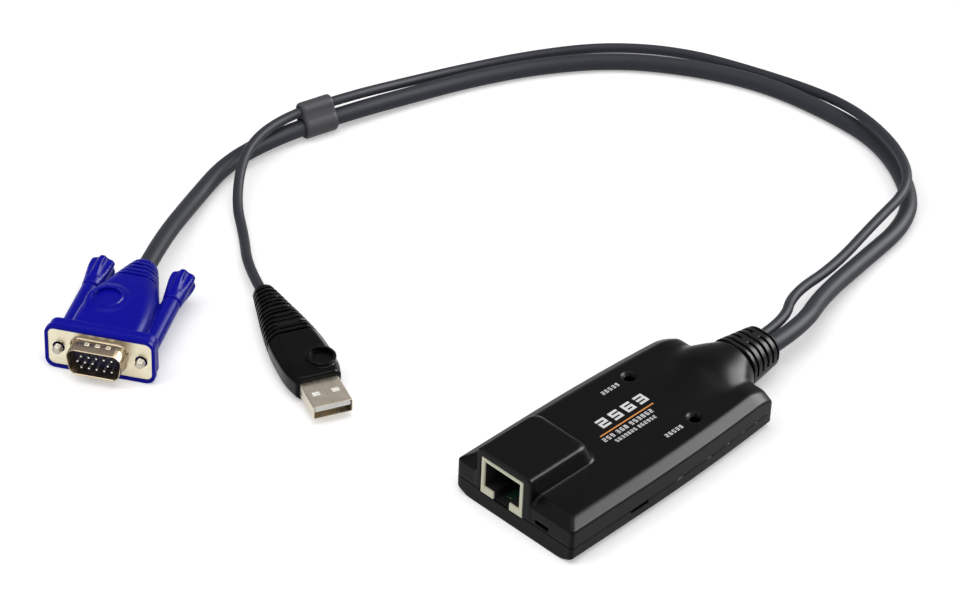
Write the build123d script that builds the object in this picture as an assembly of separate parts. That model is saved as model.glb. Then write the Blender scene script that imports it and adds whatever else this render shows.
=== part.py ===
from build123d import *
import os
from math import cos, pi, radians, sin, sqrt, tan

# Housing: origin at the middle of its underside, socket face at -Y, cable end at +Y
length = 86.0
width = 44.2
side_straight = 28.0
side_arc_radius = 731.0
seam_height = 5.8
waist_height = 11.4
top_height = 13.4
bevel_width = 3.45
foot_height = 1.7
foot_bevel = 4.0
rear_fall_run = 8.0
rear_fall_radius = 16.0
wall = 1.6
parting_gap = 0.2
corner_round = 0.9

# Raised socket housing on the top
bump_left = -14.6
bump_right = 6.1
bump_top = 20.2
bump_run = 22.9
bump_foot_run = 27.0
bump_round = 1.4

# Raised cable outlet, oval in section: distance behind the front face, half width, half height
outlet_stations = (
    (60.0, 14.5, 4.6),
    (67.0, 14.5, 5.8),
    (73.0, 14.5, 6.65),
    (78.4, 14.4, 7.8),
    (82.5, 13.6, 8.0),
    (86.0, 11.9, 7.8),
    (91.2, 8.4, 7.2),
)
outlet_middle = 8.3

# Lip and rabbet that locate the two shells
lip_height = 1.2
lip_inset = 0.95
rabbet_inset = 0.8
rabbet_clearance = 0.25

# Pry notches in the sides and the snap window in the front
notch_start = 24.1
notch_length = 7.1
notch_height = 1.0
notch_depth = 0.75
snap_left = 8.2
snap_width = 5.0
snap_low = 6.5
snap_high = 7.9
snap_hook_width = 1.3
snap_clearance = 0.2

# Lamp holes, pin hole
lamp_spread = 12.6
lamp_run = 60.2
lamp_hole_radius = 1.45
lamp_cone_radius = 2.35
lamp_cone_depth = 1.0
pinhole_place = (9.8, 31.2)
pinhole_radius = 0.4
pinhole_depth = 0.7

# Circuit board and its posts
board_top = 5.1
board_thickness = 1.6
board_width = 38.0
board_front_gap = 0.4
board_length = 70.0
board_corner = 1.5
post_radius = 2.6
peg_radius = 1.2
peg_height = 1.4
peg_clearance = 0.1
post_spread = 15.0
post_runs = (30.0, 66.0)

# Socket
jack_width = 16.0
jack_height = 12.7
jack_depth = 18.0
jack_middle = -4.9
jack_recess = 0.1
jack_clearance = 0.15
jack_mouth_width = 12.2
jack_mouth_height = 7.7
jack_mouth_sill = 2.6
jack_mouth_depth = 13.0
latch_width = 6.8
latch_drop = 1.3
latch_step_width = 3.6
latch_step_drop = 0.6
contact_count = 8
contact_pitch = 1.02
contact_width = 0.45
contact_thickness = 0.35
contact_run = 8.0
contact_drop = 3.0

# Lamps on spacers
lamp_radius = 1.45
lamp_flange_radius = 1.9
lamp_flange_height = 0.8
lamp_body_height = 2.2
lamp_gap = 0.3
spacer_radius = 2.1

# Parts on the board: middle x, distance behind the front face, size
controller_place = (1.0, 46.0)
controller_side = 14.0
controller_height = 1.4
driver_place = (-13.0, 46.0)
driver_width = 4.0
driver_length = 10.0
driver_height = 1.5
lead_pitch = 1.27
lead_width = 0.5
lead_reach = 1.0
lead_thickness = 0.2
crystal_place = (13.5, 42.0)
crystal_length = 11.0
crystal_width = 4.6
crystal_height = 3.5
capacitor_places = ((12.5, 11.0), (12.5, 18.0), (12.5, 25.0))
capacitor_radius = 3.15
capacitor_height = 5.6
header_run = 67.0
header_width = 15.0
header_depth = 5.0
header_height = 5.6
core_count = 6
core_pitch = 2.2
core_radius = 0.5

# Strain relief boot
boot_length = 13.5
boot_gap = 0.3
boot_width_front = 16.6
boot_height_front = 14.2
boot_corner_front = 6.1
boot_width_rear = 13.4
boot_height_rear = 11.2
boot_corner_rear = 5.0
boot_neck_width = 11.2
boot_neck_height = 8.4
boot_neck_corner = 3.4
boot_neck_clearance = 0.2
boot_flange_width = 13.0
boot_flange_height = 10.0
boot_flange_corner = 4.2
boot_flange_thickness = 1.4
boot_edge_round = 0.9
groove_width = 0.9
groove_depth = 1.0
groove_rows = 5
groove_first = 1.35
groove_pitch = 2.54
groove_side_stop = 7.5
groove_bridge = 2.6
under_groove_inner = 3.2
under_groove_top = 4.0

# Cords
vga_cord_diameter = 5.5
usb_cord_diameter = 3.2
vga_exit_x = 2.0
usb_exit_x = -3.05
exit_height = 8.6
arc_share = 0.45

# Sleeve that holds the cords side by side
sleeve_middle = (-175.9, 49.0, 3.9)
sleeve_axis = (-0.225, -0.974, 0.0)
sleeve_length = 11.5
sleeve_wall = 1.15
sleeve_web_offset = (-1.75, 0.4, 4.85)
sleeve_bore_clearance = 0.3
sleeve_round = 0.7

# Screen plug: middle of the plate's face, and the way its cord end points
vga_place = (-128.83, -81.89, 7.6)
vga_heading = 30.92
plate_width = 31.2
plate_height = 12.7
plate_thickness = 0.9
plate_corner = 2.0
screw_spread = 24.99
shell_width = 17.7
shell_height = 9.1
shell_reach = 5.8
shell_sheet = 0.45
shell_slope = 10.0
shell_corner = 2.8
shell_foot = 0.8
dimple_spread = 4.8
dimple_width = 1.7
dimple_length = 1.5
dimple_depth = 0.25
dimple_run = 2.6
insulator_front = 0.9
insulator_back = 4.0
pin_radius = 0.38
pin_reach = 5.0
pin_back = 6.5
pin_pitch = 2.29
pin_row = 1.98
flange_width = 33.4
flange_height = 15.2
flange_corner = 3.0
flange_lip = 0.3
flange_front = 1.5
flange_groove = 0.5
flange_back = 4.8
flange_step = 0.35
plate_clearance = 0.1
vga_hood_length = 42.6
vga_pocket = 7.0
barrel_radius = 2.8
barrel_end = 28.0
bore_radius = 1.6
web_thickness = 3.4
web_end = 22.0
# Distance behind the plate, width, height, corner radius
vga_hood_stations = (
    (3.0, 22.6, 12.4, 3.2),
    (14.5, 22.4, 13.2, 4.0),
    (22.5, 20.8, 13.2, 4.8),
    (30.0, 16.8, 12.2, 5.2),
    (35.2, 13.2, 11.0, 5.0),
    (39.2, 10.6, 9.6, 4.6),
    (vga_hood_length, 8.0, 8.0, 3.9),
)
vga_groove_first = 31.4
vga_groove_pitch = 2.15
vga_groove_count = 5
vga_groove_width = 0.6
vga_groove_depth = 0.55
vga_boss_place = (-3.5, 18.0)
vga_boss_radius = 4.7
vga_boss_dish = 3.7
vga_boss_rise = 0.8
vga_boss_depth = 0.7

# Thumbscrews
knob_front = 28.4
knob_length = 12.9
knob_radii = ((0.0, 2.9), (2.1, 3.1), (6.2, 3.65), (10.2, 4.1), (11.8, 4.0))
knob_tip_radius = 2.6
flute_count = 6
flute_radius = 1.35
flute_circle = 4.75
flute_start = 3.0
shaft_radius = 1.2
shaft_end = 37.0
thread_radius = 1.42
thread_reach = 2.3
thread_back = 0.0
thread_tip = 0.4
shank_radius = 1.1
shank_end = 6.0
screw_hole_radius = 1.9

# Small plug: middle of the shell's mouth, and the way its cord end points
usb_place = (-67.4, -47.4, 4.5)
usb_heading = 67.3
usb_width = 12.0
usb_height = 4.5
usb_sheet = 0.3
usb_corner = 0.6
usb_shell_length = 18.0
usb_window_x = 3.0
usb_window_run = 5.7
usb_window_width = 2.4
usb_window_length = 2.0
usb_seam = 0.12
tongue_width = 10.8
tongue_thickness = 1.84
tongue_front = 0.15
tongue_back = 17.6
usb_contact_width = 1.0
usb_contact_thickness = 0.25
usb_contact_places = ((-3.5, 1.2), (-1.0, 2.2), (1.0, 2.2), (3.5, 1.2))
usb_contact_end = 11.0
usb_hood_start = 11.5
usb_hood_end = 59.0
# Distance behind the mouth, width, height, edge chamfer, corner radius
usb_hood_stations = (
    (usb_hood_start, 13.8, 8.0, 1.5, 0.4),
    (16.0, 16.0, 8.9, 2.0, 0.5),
    (25.0, 16.8, 9.0, 2.3, 0.6),
    (33.0, 16.0, 9.0, 2.6, 0.9),
    (41.0, 14.0, 8.8, 2.8, 1.3),
    (49.0, 11.0, 8.2, 2.6, 1.8),
    (55.0, 8.6, 7.4, 2.2, 1.8),
    (usb_hood_end, 6.8, 6.6, 1.9, 1.6),
)
usb_rib_first = 32.6
usb_rib_pitch = 1.95
usb_rib_count = 13
usb_rib_width = 0.75
usb_rib_depth = 0.5
usb_boss_place = (3.2, 18.4)
usb_boss_radius = 4.5
usb_boss_dish = 3.5
usb_boss_rise = 0.9
usb_boss_depth = 1.1

front = -length / 2
rear = length / 2
nozzle_end = front + outlet_stations[-1][0]
boot_start = nozzle_end + boot_gap
boot_end = boot_start + boot_length
board_floor = board_top - board_thickness
vga_radius = vga_cord_diameter / 2
usb_radius = usb_cord_diameter / 2
big = 60.0


# Shared helpers
def across(y):
    """The plane that faces -Y at the given Y, with Z up."""
    return Plane(origin=(0, y, 0), x_dir=(1, 0, 0), z_dir=(0, -1, 0))


def block(x0, x1, y0, y1, z0, z1):
    """A box from its two corners."""
    return Pos((x0 + x1) / 2, (y0 + y1) / 2, (z0 + z1) / 2) * Box(x1 - x0, y1 - y0, z1 - z0)


def rod(x, z, y0, y1, radius):
    """A cylinder along Y."""
    return extrude(across(y1) * Pos(x, z) * Circle(radius), y1 - y0)


def slab(outline, y0, y1):
    """An outline in X and Z, carried along Y."""
    return extrude(across(y1) * outline, y1 - y0)


def inset(points, distance):
    """A convex outline with each edge moved inwards."""
    corners = [Vector(*point) for point in points]
    moved = []
    for i, here in enumerate(corners):
        ahead = (corners[(i + 1) % len(corners)] - here).normalized()
        behind = (here - corners[i - 1]).normalized()
        n1 = Vector(-behind.Y, behind.X)
        n2 = Vector(-ahead.Y, ahead.X)
        shift = (n1 + n2) * (distance / (1 + n1.dot(n2)))
        moved.append((here.X + shift.X, here.Y + shift.Y))
    return moved


def between(stations, y):
    """The station's values at y, in proportion between its neighbours."""
    for low, high in zip(stations, stations[1:]):
        if y <= high[0]:
            share = (y - low[0]) / (high[0] - low[0])
            return [a + (b - a) * share for a, b in zip(low, high)]
    return list(stations[-1])


# Housing
def half_width(y, distance):
    run = max(0.0, y - front - side_straight)
    radius = side_arc_radius - distance
    return width / 2 - side_arc_radius + sqrt(radius ** 2 - run ** 2)


def body_form(distance):
    """The plain housing without its raised parts, with every face moved inwards."""
    bend = front + side_straight
    end = rear - distance
    runs = (front + distance, bend, (bend + end) / 2, end)
    right = [(half_width(y, distance), y) for y in runs]
    left = [(-x, y) for x, y in right]
    outline = Line(right[0], right[1]) + ThreePointArc(*right[1:]) + Line(right[3], left[3])
    outline += ThreePointArc(left[3], left[2], left[1]) + Line(left[1], left[0]) + Line(left[0], right[0])
    form = extrude(Pos(0, 0, distance) * make_face(outline), top_height - 2 * distance)

    # The rear edge of the top falls away in a curve
    fall_start = rear - rear_fall_run
    fall = block(-big, big, fall_start, rear + 1, 0, top_height + 1)
    drum = Pos(0, fall_start, top_height - rear_fall_radius) * Rot(0, 90, 0)
    form -= fall - drum * Cylinder(rear_fall_radius - distance, 3 * big)

    # The slopes under the sides and around the top, at their widths for this inset
    half = width / 2
    section = [
        (half - foot_bevel, 0.0), (half, foot_height), (half, waist_height),
        (half - bevel_width, top_height), (-half, top_height), (-half, 0.0),
    ]
    foot, ankle, waist, brow = inset(section, distance)[:4]
    floor = form.faces().sort_by(Axis.Z)[0]
    sides = [edge for edge in floor.edges() if abs(edge.tangent_at(0.5).Y) > 0.9]
    form = chamfer(sides, ankle[0] - foot[0], ankle[1] - foot[1], reference=floor)
    roof = form.faces().filter_by(Axis.Z).sort_by(Axis.Z)[-1]
    edges = [edge for edge in roof.edges() if edge.center().Y < fall_start - 0.1]
    form = chamfer(edges, waist[0] - brow[0], brow[1] - waist[1], reference=roof)
    if distance == 0:
        corners = form.edges().filter_by(Axis.Z).group_by(Axis.Y)[0]
        form = fillet(corners, corner_round)
    return form


def bump_form(distance):
    """The raised socket housing, a block with a sloping back."""
    profile = [
        (front, waist_height - wall),
        (front + bump_foot_run + 1.2, waist_height - wall),
        (front + bump_run, bump_top),
        (front, bump_top),
    ]
    low, foot, back, face = inset(profile, distance)
    low = (low[0], profile[0][1])
    shape = Plane.YZ * Polygon(low, foot, back, face, align=None)
    return Pos(bump_left + distance, 0, 0) * extrude(shape, bump_right - bump_left - 2 * distance)


def outlet_section(run, half_wide, half_high, distance):
    oval = Ellipse(half_wide - distance, half_high - distance)
    return (across(front + run) * Pos(0, outlet_middle) * oval).face()


def outlet_form(distance):
    """The cable outlet, which grows out of the top and ends in a nozzle behind the rear wall."""
    stations = outlet_stations
    if distance:
        last = between(stations, stations[-1][0] - distance)
        stations = (*stations[1:-1], last)
    return loft([outlet_section(*station, distance) for station in stations])


def boot_neck(distance):
    shape = RectangleRounded(
        boot_neck_width + 2 * distance, boot_neck_height + 2 * distance, boot_neck_corner + distance
    )
    return Pos(0, outlet_middle) * shape


def make_shells():
    bump = bump_form(0)
    bump = fillet(bump.edges().filter_by_position(Axis.Z, top_height, big).filter_by_position(
        Axis.Y, front + 0.5, big), bump_round)
    outer = body_form(0) + bump + outlet_form(0)
    inner = body_form(wall) + bump_form(wall) + outlet_form(wall)
    shell = outer - inner
    seam_low = seam_height - parting_gap
    upper = shell & block(-big, big, -big, big, seam_height, big)
    lower = shell & block(-big, big, -big, big, -1, seam_low)

    # The rabbet inside the upper rim, and the lip of the lower shell that stands in it
    rabbet_top = seam_height + lip_height + rabbet_clearance
    upper -= body_form(rabbet_inset) & block(-big, big, -big, big, 0, rabbet_top)
    lip = body_form(lip_inset) - body_form(wall) - outlet_form(wall)
    lower += lip & block(-big, big, -big, big, seam_low - 1, seam_height + lip_height)

    # Socket opening in both shells
    reach = jack_width / 2 + jack_clearance
    mouth = block(
        jack_middle - reach, jack_middle + reach, front - 1, front + wall + 1,
        board_top - jack_clearance, board_top + jack_height + jack_clearance,
    )
    upper -= mouth
    lower -= mouth

    # Opening for the boot's neck in the end of the nozzle
    throat = slab(boot_neck(boot_neck_clearance), nozzle_end - wall - 0.5, nozzle_end + 1)
    upper -= throat
    lower -= throat

    # Lamp holes with their cones, and the pin hole
    for side in (-1, 1):
        place = Pos(side * lamp_spread, front + lamp_run, top_height)
        upper -= place * Cylinder(lamp_hole_radius, 2 * wall + 2)
        cone = Cone(
            lamp_hole_radius, lamp_cone_radius, lamp_cone_depth, align=(Align.CENTER, Align.CENTER, Align.MAX)
        )
        upper -= place * cone
    pin_x, pin_run = pinhole_place
    upper -= Pos(pin_x, front + pin_run, top_height) * Cylinder(pinhole_radius, 2 * pinhole_depth)

    # Snap window in the front, with the hook of the lower shell standing in it
    window = block(snap_left, snap_left + snap_width, front - 1, front + wall + 0.5, snap_low, snap_high)
    upper -= window
    hook_left = snap_left + (snap_width - snap_hook_width) / 2
    hook_right = hook_left + snap_hook_width
    back = front + wall
    lower += block(
        hook_left, hook_right, front + lip_inset, back, seam_height, snap_high - snap_clearance
    )
    lower += block(
        hook_left, hook_right, front + 0.35, back,
        snap_low + snap_clearance, snap_high - snap_clearance,
    )

    # Pry notches in both sides, and the posts that carry the board
    for side in (-1, 1):
        edge = side * width / 2
        notch = block(
            edge - notch_depth, edge + notch_depth, front + notch_start, front + notch_start + notch_length,
            seam_low - notch_height, seam_height,
        )
        lower -= notch
        for run in post_runs:
            place = Pos(side * post_spread, front + run, wall)
            up = (Align.CENTER, Align.CENTER, Align.MIN)
            lower += place * Cylinder(post_radius, board_floor - wall, align=up)
            lower += place * Cylinder(peg_radius, board_top - wall + peg_height, align=up)
    return upper, lower


# Inside the housing
def make_board():
    start = front + wall + board_front_gap
    plate = Rectangle(board_width, board_length, align=(Align.CENTER, Align.MIN))
    plate = fillet(plate.vertices(), board_corner)
    board = extrude(Pos(0, start, board_floor) * plate, board_thickness)
    for side in (-1, 1):
        for run in post_runs:
            place = Pos(side * post_spread, front + run, board_floor)
            board -= place * Cylinder(peg_radius + peg_clearance, 4 * board_thickness)
    return board


def make_jack():
    face = front + jack_recess
    half = jack_width / 2
    jack = block(
        jack_middle - half, jack_middle + half, face, face + jack_depth, board_top, board_top + jack_height
    )
    sill = board_top + jack_mouth_sill
    half = jack_mouth_width / 2
    jack -= block(
        jack_middle - half, jack_middle + half, face - 1, face + jack_mouth_depth,
        sill, sill + jack_mouth_height,
    )
    for latch, drop in ((latch_width, latch_drop), (latch_step_width, latch_drop + latch_step_drop)):
        jack -= block(
            jack_middle - latch / 2, jack_middle + latch / 2, face - 1, face + jack_mouth_depth / 2,
            sill - drop, sill + 1,
        )
    return jack


def make_jack_contacts():
    """Eight sprung wires that slope down from the roof of the socket's mouth."""
    roof = board_top + jack_mouth_sill + jack_mouth_height
    start = front + jack_recess + 2.2
    wires = []
    for i in range(contact_count):
        x = jack_middle + (i - (contact_count - 1) / 2) * contact_pitch
        profile = Polygon(
            (start, roof), (start, roof - contact_thickness),
            (start + contact_run, roof - contact_drop), (start + contact_run, roof - contact_drop + 0.5),
            (start + 1.0, roof), align=None,
        )
        wire = Pos(x - contact_width / 2, 0, 0) * extrude(Plane.YZ * profile, contact_width)
        wires.append(wire)
    return Compound(children=[wire.solid() for wire in wires])


def make_lamp(side):
    """A round lamp whose dome stands just under its hole."""
    roof = top_height - wall - lamp_gap
    dome_base = roof - lamp_radius
    low = dome_base - lamp_body_height
    place = Pos(side * lamp_spread, front + lamp_run, low)
    up = (Align.CENTER, Align.CENTER, Align.MIN)
    lamp = place * Cylinder(lamp_radius, lamp_body_height, align=up)
    lamp += place * Cylinder(lamp_flange_radius, lamp_flange_height, align=up)
    lamp += place * Pos(0, 0, lamp_body_height) * Sphere(lamp_radius, arc_size1=0)
    return lamp


def make_spacers():
    roof = top_height - wall - lamp_gap
    top = roof - lamp_radius - lamp_body_height
    up = (Align.CENTER, Align.CENTER, Align.MIN)
    posts = []
    for side in (-1, 1):
        place = Pos(side * lamp_spread, front + lamp_run, board_top)
        posts.append((place * Cylinder(spacer_radius, top - board_top, align=up)).solid())
    return Compound(children=posts)


def lead_row(x, y, count, along, out):
    """A row of flat chip leads on the board."""
    row = []
    for i in range(count):
        shift = (i - (count - 1) / 2) * lead_pitch
        if along == "y":
            x0, x1 = sorted((x, x + out * lead_reach))
            row.append(block(
                x0, x1, y + shift - lead_width / 2, y + shift + lead_width / 2,
                board_top, board_top + lead_thickness,
            ))
        else:
            y0, y1 = sorted((y, y + out * lead_reach))
            row.append(block(
                x + shift - lead_width / 2, x + shift + lead_width / 2, y0, y1,
                board_top, board_top + lead_thickness,
            ))
    return row


def make_controller():
    x, run = controller_place
    y = front + run
    half = controller_side / 2
    chip = block(x - half, x + half, y - half, y + half, board_top, board_top + controller_height)
    chip = chamfer(chip.edges().group_by(Axis.Z)[-1], 0.3)
    for side in (-1, 1):
        for lead in lead_row(x + side * half, y, 9, "y", side) + lead_row(x, y + side * half, 9, "x", side):
            chip += lead
    return chip


def make_driver():
    x, run = driver_place
    y = front + run
    half = driver_width / 2
    chip = block(
        x - half, x + half, y - driver_length / 2, y + driver_length / 2,
        board_top, board_top + driver_height,
    )
    chip = chamfer(chip.edges().group_by(Axis.Z)[-1], 0.3)
    for side in (-1, 1):
        for lead in lead_row(x + side * half, y, 7, "y", side):
            chip += lead
    return chip


def make_crystal():
    x, run = crystal_place
    shape = Rot(0, 0, 90) * SlotOverall(crystal_length, crystal_width)
    can = extrude(Pos(x, front + run, board_top) * shape, crystal_height)
    return fillet(can.edges().group_by(Axis.Z)[-1], 0.5)


def make_capacitors():
    up = (Align.CENTER, Align.CENTER, Align.MIN)
    cans = []
    for x, run in capacitor_places:
        can = Pos(x, front + run, board_top) * Cylinder(capacitor_radius, capacitor_height, align=up)
        can = chamfer(can.edges().group_by(Axis.Z)[-1], 0.4)
        cans.append(can.solid())
    return Compound(children=cans)


def make_header():
    half = header_width / 2
    y = front + header_run
    header = block(-half, half, y, y + header_depth, board_top, board_top + header_height)
    for i in range(core_count):
        x = (i - (core_count - 1) / 2) * core_pitch
        header -= block(
            x - 0.7, x + 0.7, y + 0.8, y + header_depth - 1.6,
            board_top + 2, board_top + header_height + 1,
        )
    return header


def make_cores():
    """The thin insulated cores that run from the boot to the header."""
    start = nozzle_end - wall - boot_gap - boot_flange_thickness
    end = front + header_run + header_depth
    cores = []
    for i in range(core_count):
        x = (i - (core_count - 1) / 2) * core_pitch
        cores.append(rod(x, outlet_middle, end, start, core_radius))
    return Compound(children=cores)


# Strain relief
def boot_outline(y, depth):
    share = (y - boot_start) / boot_length
    wide = boot_width_front + (boot_width_rear - boot_width_front) * share
    high = boot_height_front + (boot_height_rear - boot_height_front) * share
    corner = boot_corner_front + (boot_corner_rear - boot_corner_front) * share
    return Pos(0, outlet_middle) * RectangleRounded(wide - 2 * depth, high - 2 * depth, corner - depth)


def make_boot():
    boot = loft([(across(y) * boot_outline(y, 0)).face() for y in (boot_start, boot_end)])
    boot = fillet(boot.edges().group_by(Axis.Y)[-1], boot_edge_round)
    half_bridge = groove_bridge / 2
    for row in range(groove_rows):
        y = boot_start + groove_first + row * groove_pitch
        ring = slab(Pos(0, outlet_middle) * Rectangle(big, big), y, y + groove_width)
        ring -= slab(boot_outline(y, groove_depth), y - 1, y + groove_width + 1)
        over = ring & block(-big, big, -big, big, groove_side_stop, big)
        if row % 2:
            over -= block(-half_bridge, half_bridge, -big, big, outlet_middle, big)
        boot -= over
        for side in (-1, 1):
            x0, x1 = sorted((side * under_groove_inner, side * big))
            boot -= ring & block(x0, x1, -big, big, -big, under_groove_top)
    flange_back = nozzle_end - wall - boot_gap
    boot += slab(boot_neck(0), flange_back - boot_flange_thickness / 2, boot_start + 1)
    flange = Pos(0, outlet_middle) * RectangleRounded(boot_flange_width, boot_flange_height, boot_flange_corner)
    boot += slab(flange, flange_back - boot_flange_thickness, flange_back)
    return boot


# Cords
sleeve_half_run = 12.3


def along_sleeve(middle, distance):
    return tuple(m + a * distance for m, a in zip(middle, sleeve_axis))


usb_sleeve_middle = tuple(m + o for m, o in zip(sleeve_middle, sleeve_web_offset))


def plug_point(place, heading, back):
    """A point on a plug's axis, the given distance behind its origin."""
    angle = radians(heading)
    return (place[0] - back * sin(angle), place[1] + back * cos(angle), place[2])


vga_route = [
    (vga_exit_x, boot_end, exit_height),
    (vga_exit_x, 77.0, exit_height),
    (-5.48, 95.0, 5.9),
    (-10.88, 120.28, 2.9),
    (-14.01, 145.01, 2.75),
    (-23.82, 160.41, 2.75),
    (-47.42, 174.24, 2.75),
    (-71.82, 175.23, 2.75),
    (-96.44, 171.89, 2.75),
    (-118.47, 161.19, 2.75),
    (-137.72, 146.21, 2.75),
    (-151.98, 125.37, 2.75),
    (-161.77, 103.19, 2.75),
    (-168.5, 79.73, 3.2),
    along_sleeve(sleeve_middle, -sleeve_half_run),
    along_sleeve(sleeve_middle, sleeve_half_run),
    (-180.3, 14.55, 2.9),
    (-171.38, -7.6, 3.6),
    plug_point(vga_place, vga_heading, vga_hood_length + 15.0),
    plug_point(vga_place, vga_heading, vga_hood_length),
]

usb_route = [
    (usb_exit_x, boot_end, exit_height),
    (usb_exit_x, 75.0, exit_height),
    (-10.43, 86.63, 8.11),
    (-12.08, 108.67, 6.51),
    (-15.91, 131.7, 9.26),
    (-18.55, 152.21, 11.36),
    (-32.97, 165.38, 10.81),
    (-54.56, 174.53, 8.92),
    (-76.05, 180.36, 4.21),
    (-102.78, 176.89, 1.6),
    (-126.37, 168.23, 1.6),
    (-145.31, 151.98, 1.89),
    (-158.05, 130.86, 2.0),
    (-167.49, 108.26, 2.21),
    (-172.23, 84.72, 4.91),
    along_sleeve(usb_sleeve_middle, -sleeve_half_run),
    along_sleeve(usb_sleeve_middle, sleeve_half_run),
    (-174.24, 15.9, 10.0),
    (-161.86, 1.01, 3.95),
    (-149.34, -6.99, 1.6),
    plug_point(usb_place, usb_heading, usb_hood_end + 13.0),
    plug_point(usb_place, usb_heading, usb_hood_end),
]


def make_cord(name, route, diameter):
    """A tube of straight runs joined by tangent arcs."""
    points = [Vector(*point) for point in route]
    radii = []
    for before, here, after in zip(points, points[1:], points[2:]):
        run = min((here - before).length, (after - here).length)
        turn = radians((here - before).get_angle(after - here))
        radii.append(arc_share * run / tan(turn / 2))
    path = FilletPolyline(*points, radius=radii)
    ring = Plane(origin=points[0], z_dir=points[1] - points[0]) * Circle(diameter / 2)
    tube = sweep(ring, path=path)
    wanted = path.length * pi * diameter ** 2 / 4
    print(name, "length", round(path.length, 1), "volume ratio", round(tube.volume / wanted, 4))
    print(name, "radii", [round(radius) for radius in radii])
    return tube


def make_sleeve():
    """The moulded sleeve: one skin drawn around both cords, with a bore for each."""
    middle = Vector(*sleeve_middle)
    axis = Vector(*sleeve_axis).normalized()
    offset = Vector(*sleeve_web_offset)
    offset = offset - axis * offset.dot(axis)
    frame = Plane(origin=middle, x_dir=offset, z_dir=axis)
    spread = offset.length
    skin = Circle(vga_radius + sleeve_wall) + Pos(spread, 0) * Circle(usb_radius + sleeve_wall)
    sleeve = extrude(frame * make_hull(skin.edges()), sleeve_length / 2, both=True)
    ends = [edge for edge in sleeve.edges() if abs(abs((edge.center() - middle).dot(axis)) - sleeve_length / 2) < 0.01]
    sleeve = fillet(ends, sleeve_round)
    bores = Circle(vga_radius + sleeve_bore_clearance)
    bores += Pos(spread, 0) * Circle(usb_radius + sleeve_bore_clearance)
    return sleeve - extrude(frame * bores, sleeve_length, both=True)


# Screen plug, built along its own axis: x across, y back to the cord, z up
def d_outline(wide, high, corner):
    """The D outline with its wide side up."""
    lean = tan(radians(shell_slope)) * high
    shape = Polygon(
        (-wide / 2 + lean, -high / 2), (wide / 2 - lean, -high / 2),
        (wide / 2, high / 2), (-wide / 2, high / 2), align=None,
    )
    return fillet(shape.vertices(), corner)


def screw_holes(radius, y0, y1):
    holes = rod(-screw_spread / 2, 0, y0, y1, radius)
    return holes + rod(screw_spread / 2, 0, y0, y1, radius)


def make_vga_shell():
    plate = slab(RectangleRounded(plate_width, plate_height, plate_corner), 0, plate_thickness)
    plate += slab(d_outline(shell_width, shell_height, shell_corner), -shell_reach, plate_thickness)
    foot = plate.edges().filter_by_position(Axis.Y, -0.01, 0.01)
    foot = [edge for edge in foot if abs(edge.center().X) < shell_width / 2 + 0.1
            and edge.bounding_box().size.X < shell_width + 1
            and abs(edge.center().Z) < shell_height / 2 + 0.1]
    plate = fillet(foot, shell_foot)
    inner = d_outline(shell_width - 2 * shell_sheet, shell_height - 2 * shell_sheet, shell_corner - shell_sheet)
    plate -= slab(inner, -shell_reach - 1, plate_thickness + 1)
    plate -= screw_holes(screw_hole_radius, -1, plate_thickness + 1)
    for i in (-1, 0, 1):
        x = i * dimple_spread
        plate -= block(
            x - dimple_width / 2, x + dimple_width / 2, -dimple_run - dimple_length, -dimple_run,
            shell_height / 2 - dimple_depth, shell_height,
        )
    return plate


def pin_places():
    """Fifteen places in three rows, less the one that is left out."""
    places = []
    for row, shift in ((1, 0.25), (0, -0.25), (-1, 0.25)):
        for i in range(5):
            if row == 0 and i == 3:
                continue
            places.append(((i - 2 + shift) * pin_pitch, row * pin_row))
    return places


def make_insulator():
    shape = d_outline(shell_width - 2 * shell_sheet, shell_height - 2 * shell_sheet, shell_corner - shell_sheet)
    insulator = slab(shape, -insulator_front, insulator_back)
    for x, z in pin_places():
        insulator -= rod(x, z, -insulator_front - 1, insulator_back + 1, pin_radius)
    return insulator


def make_pins():
    pins = []
    for x, z in pin_places():
        pin = rod(x, z, -pin_reach, pin_back, pin_radius)
        pins.append(chamfer(pin.edges().group_by(Axis.Y)[0], 0.2).solid())
    return Compound(children=pins)


def vga_hood_outline(y, depth):
    _, wide, high, corner = between(vga_hood_stations, y)
    return RectangleRounded(wide - 2 * depth, high - 2 * depth, corner - depth)


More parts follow.
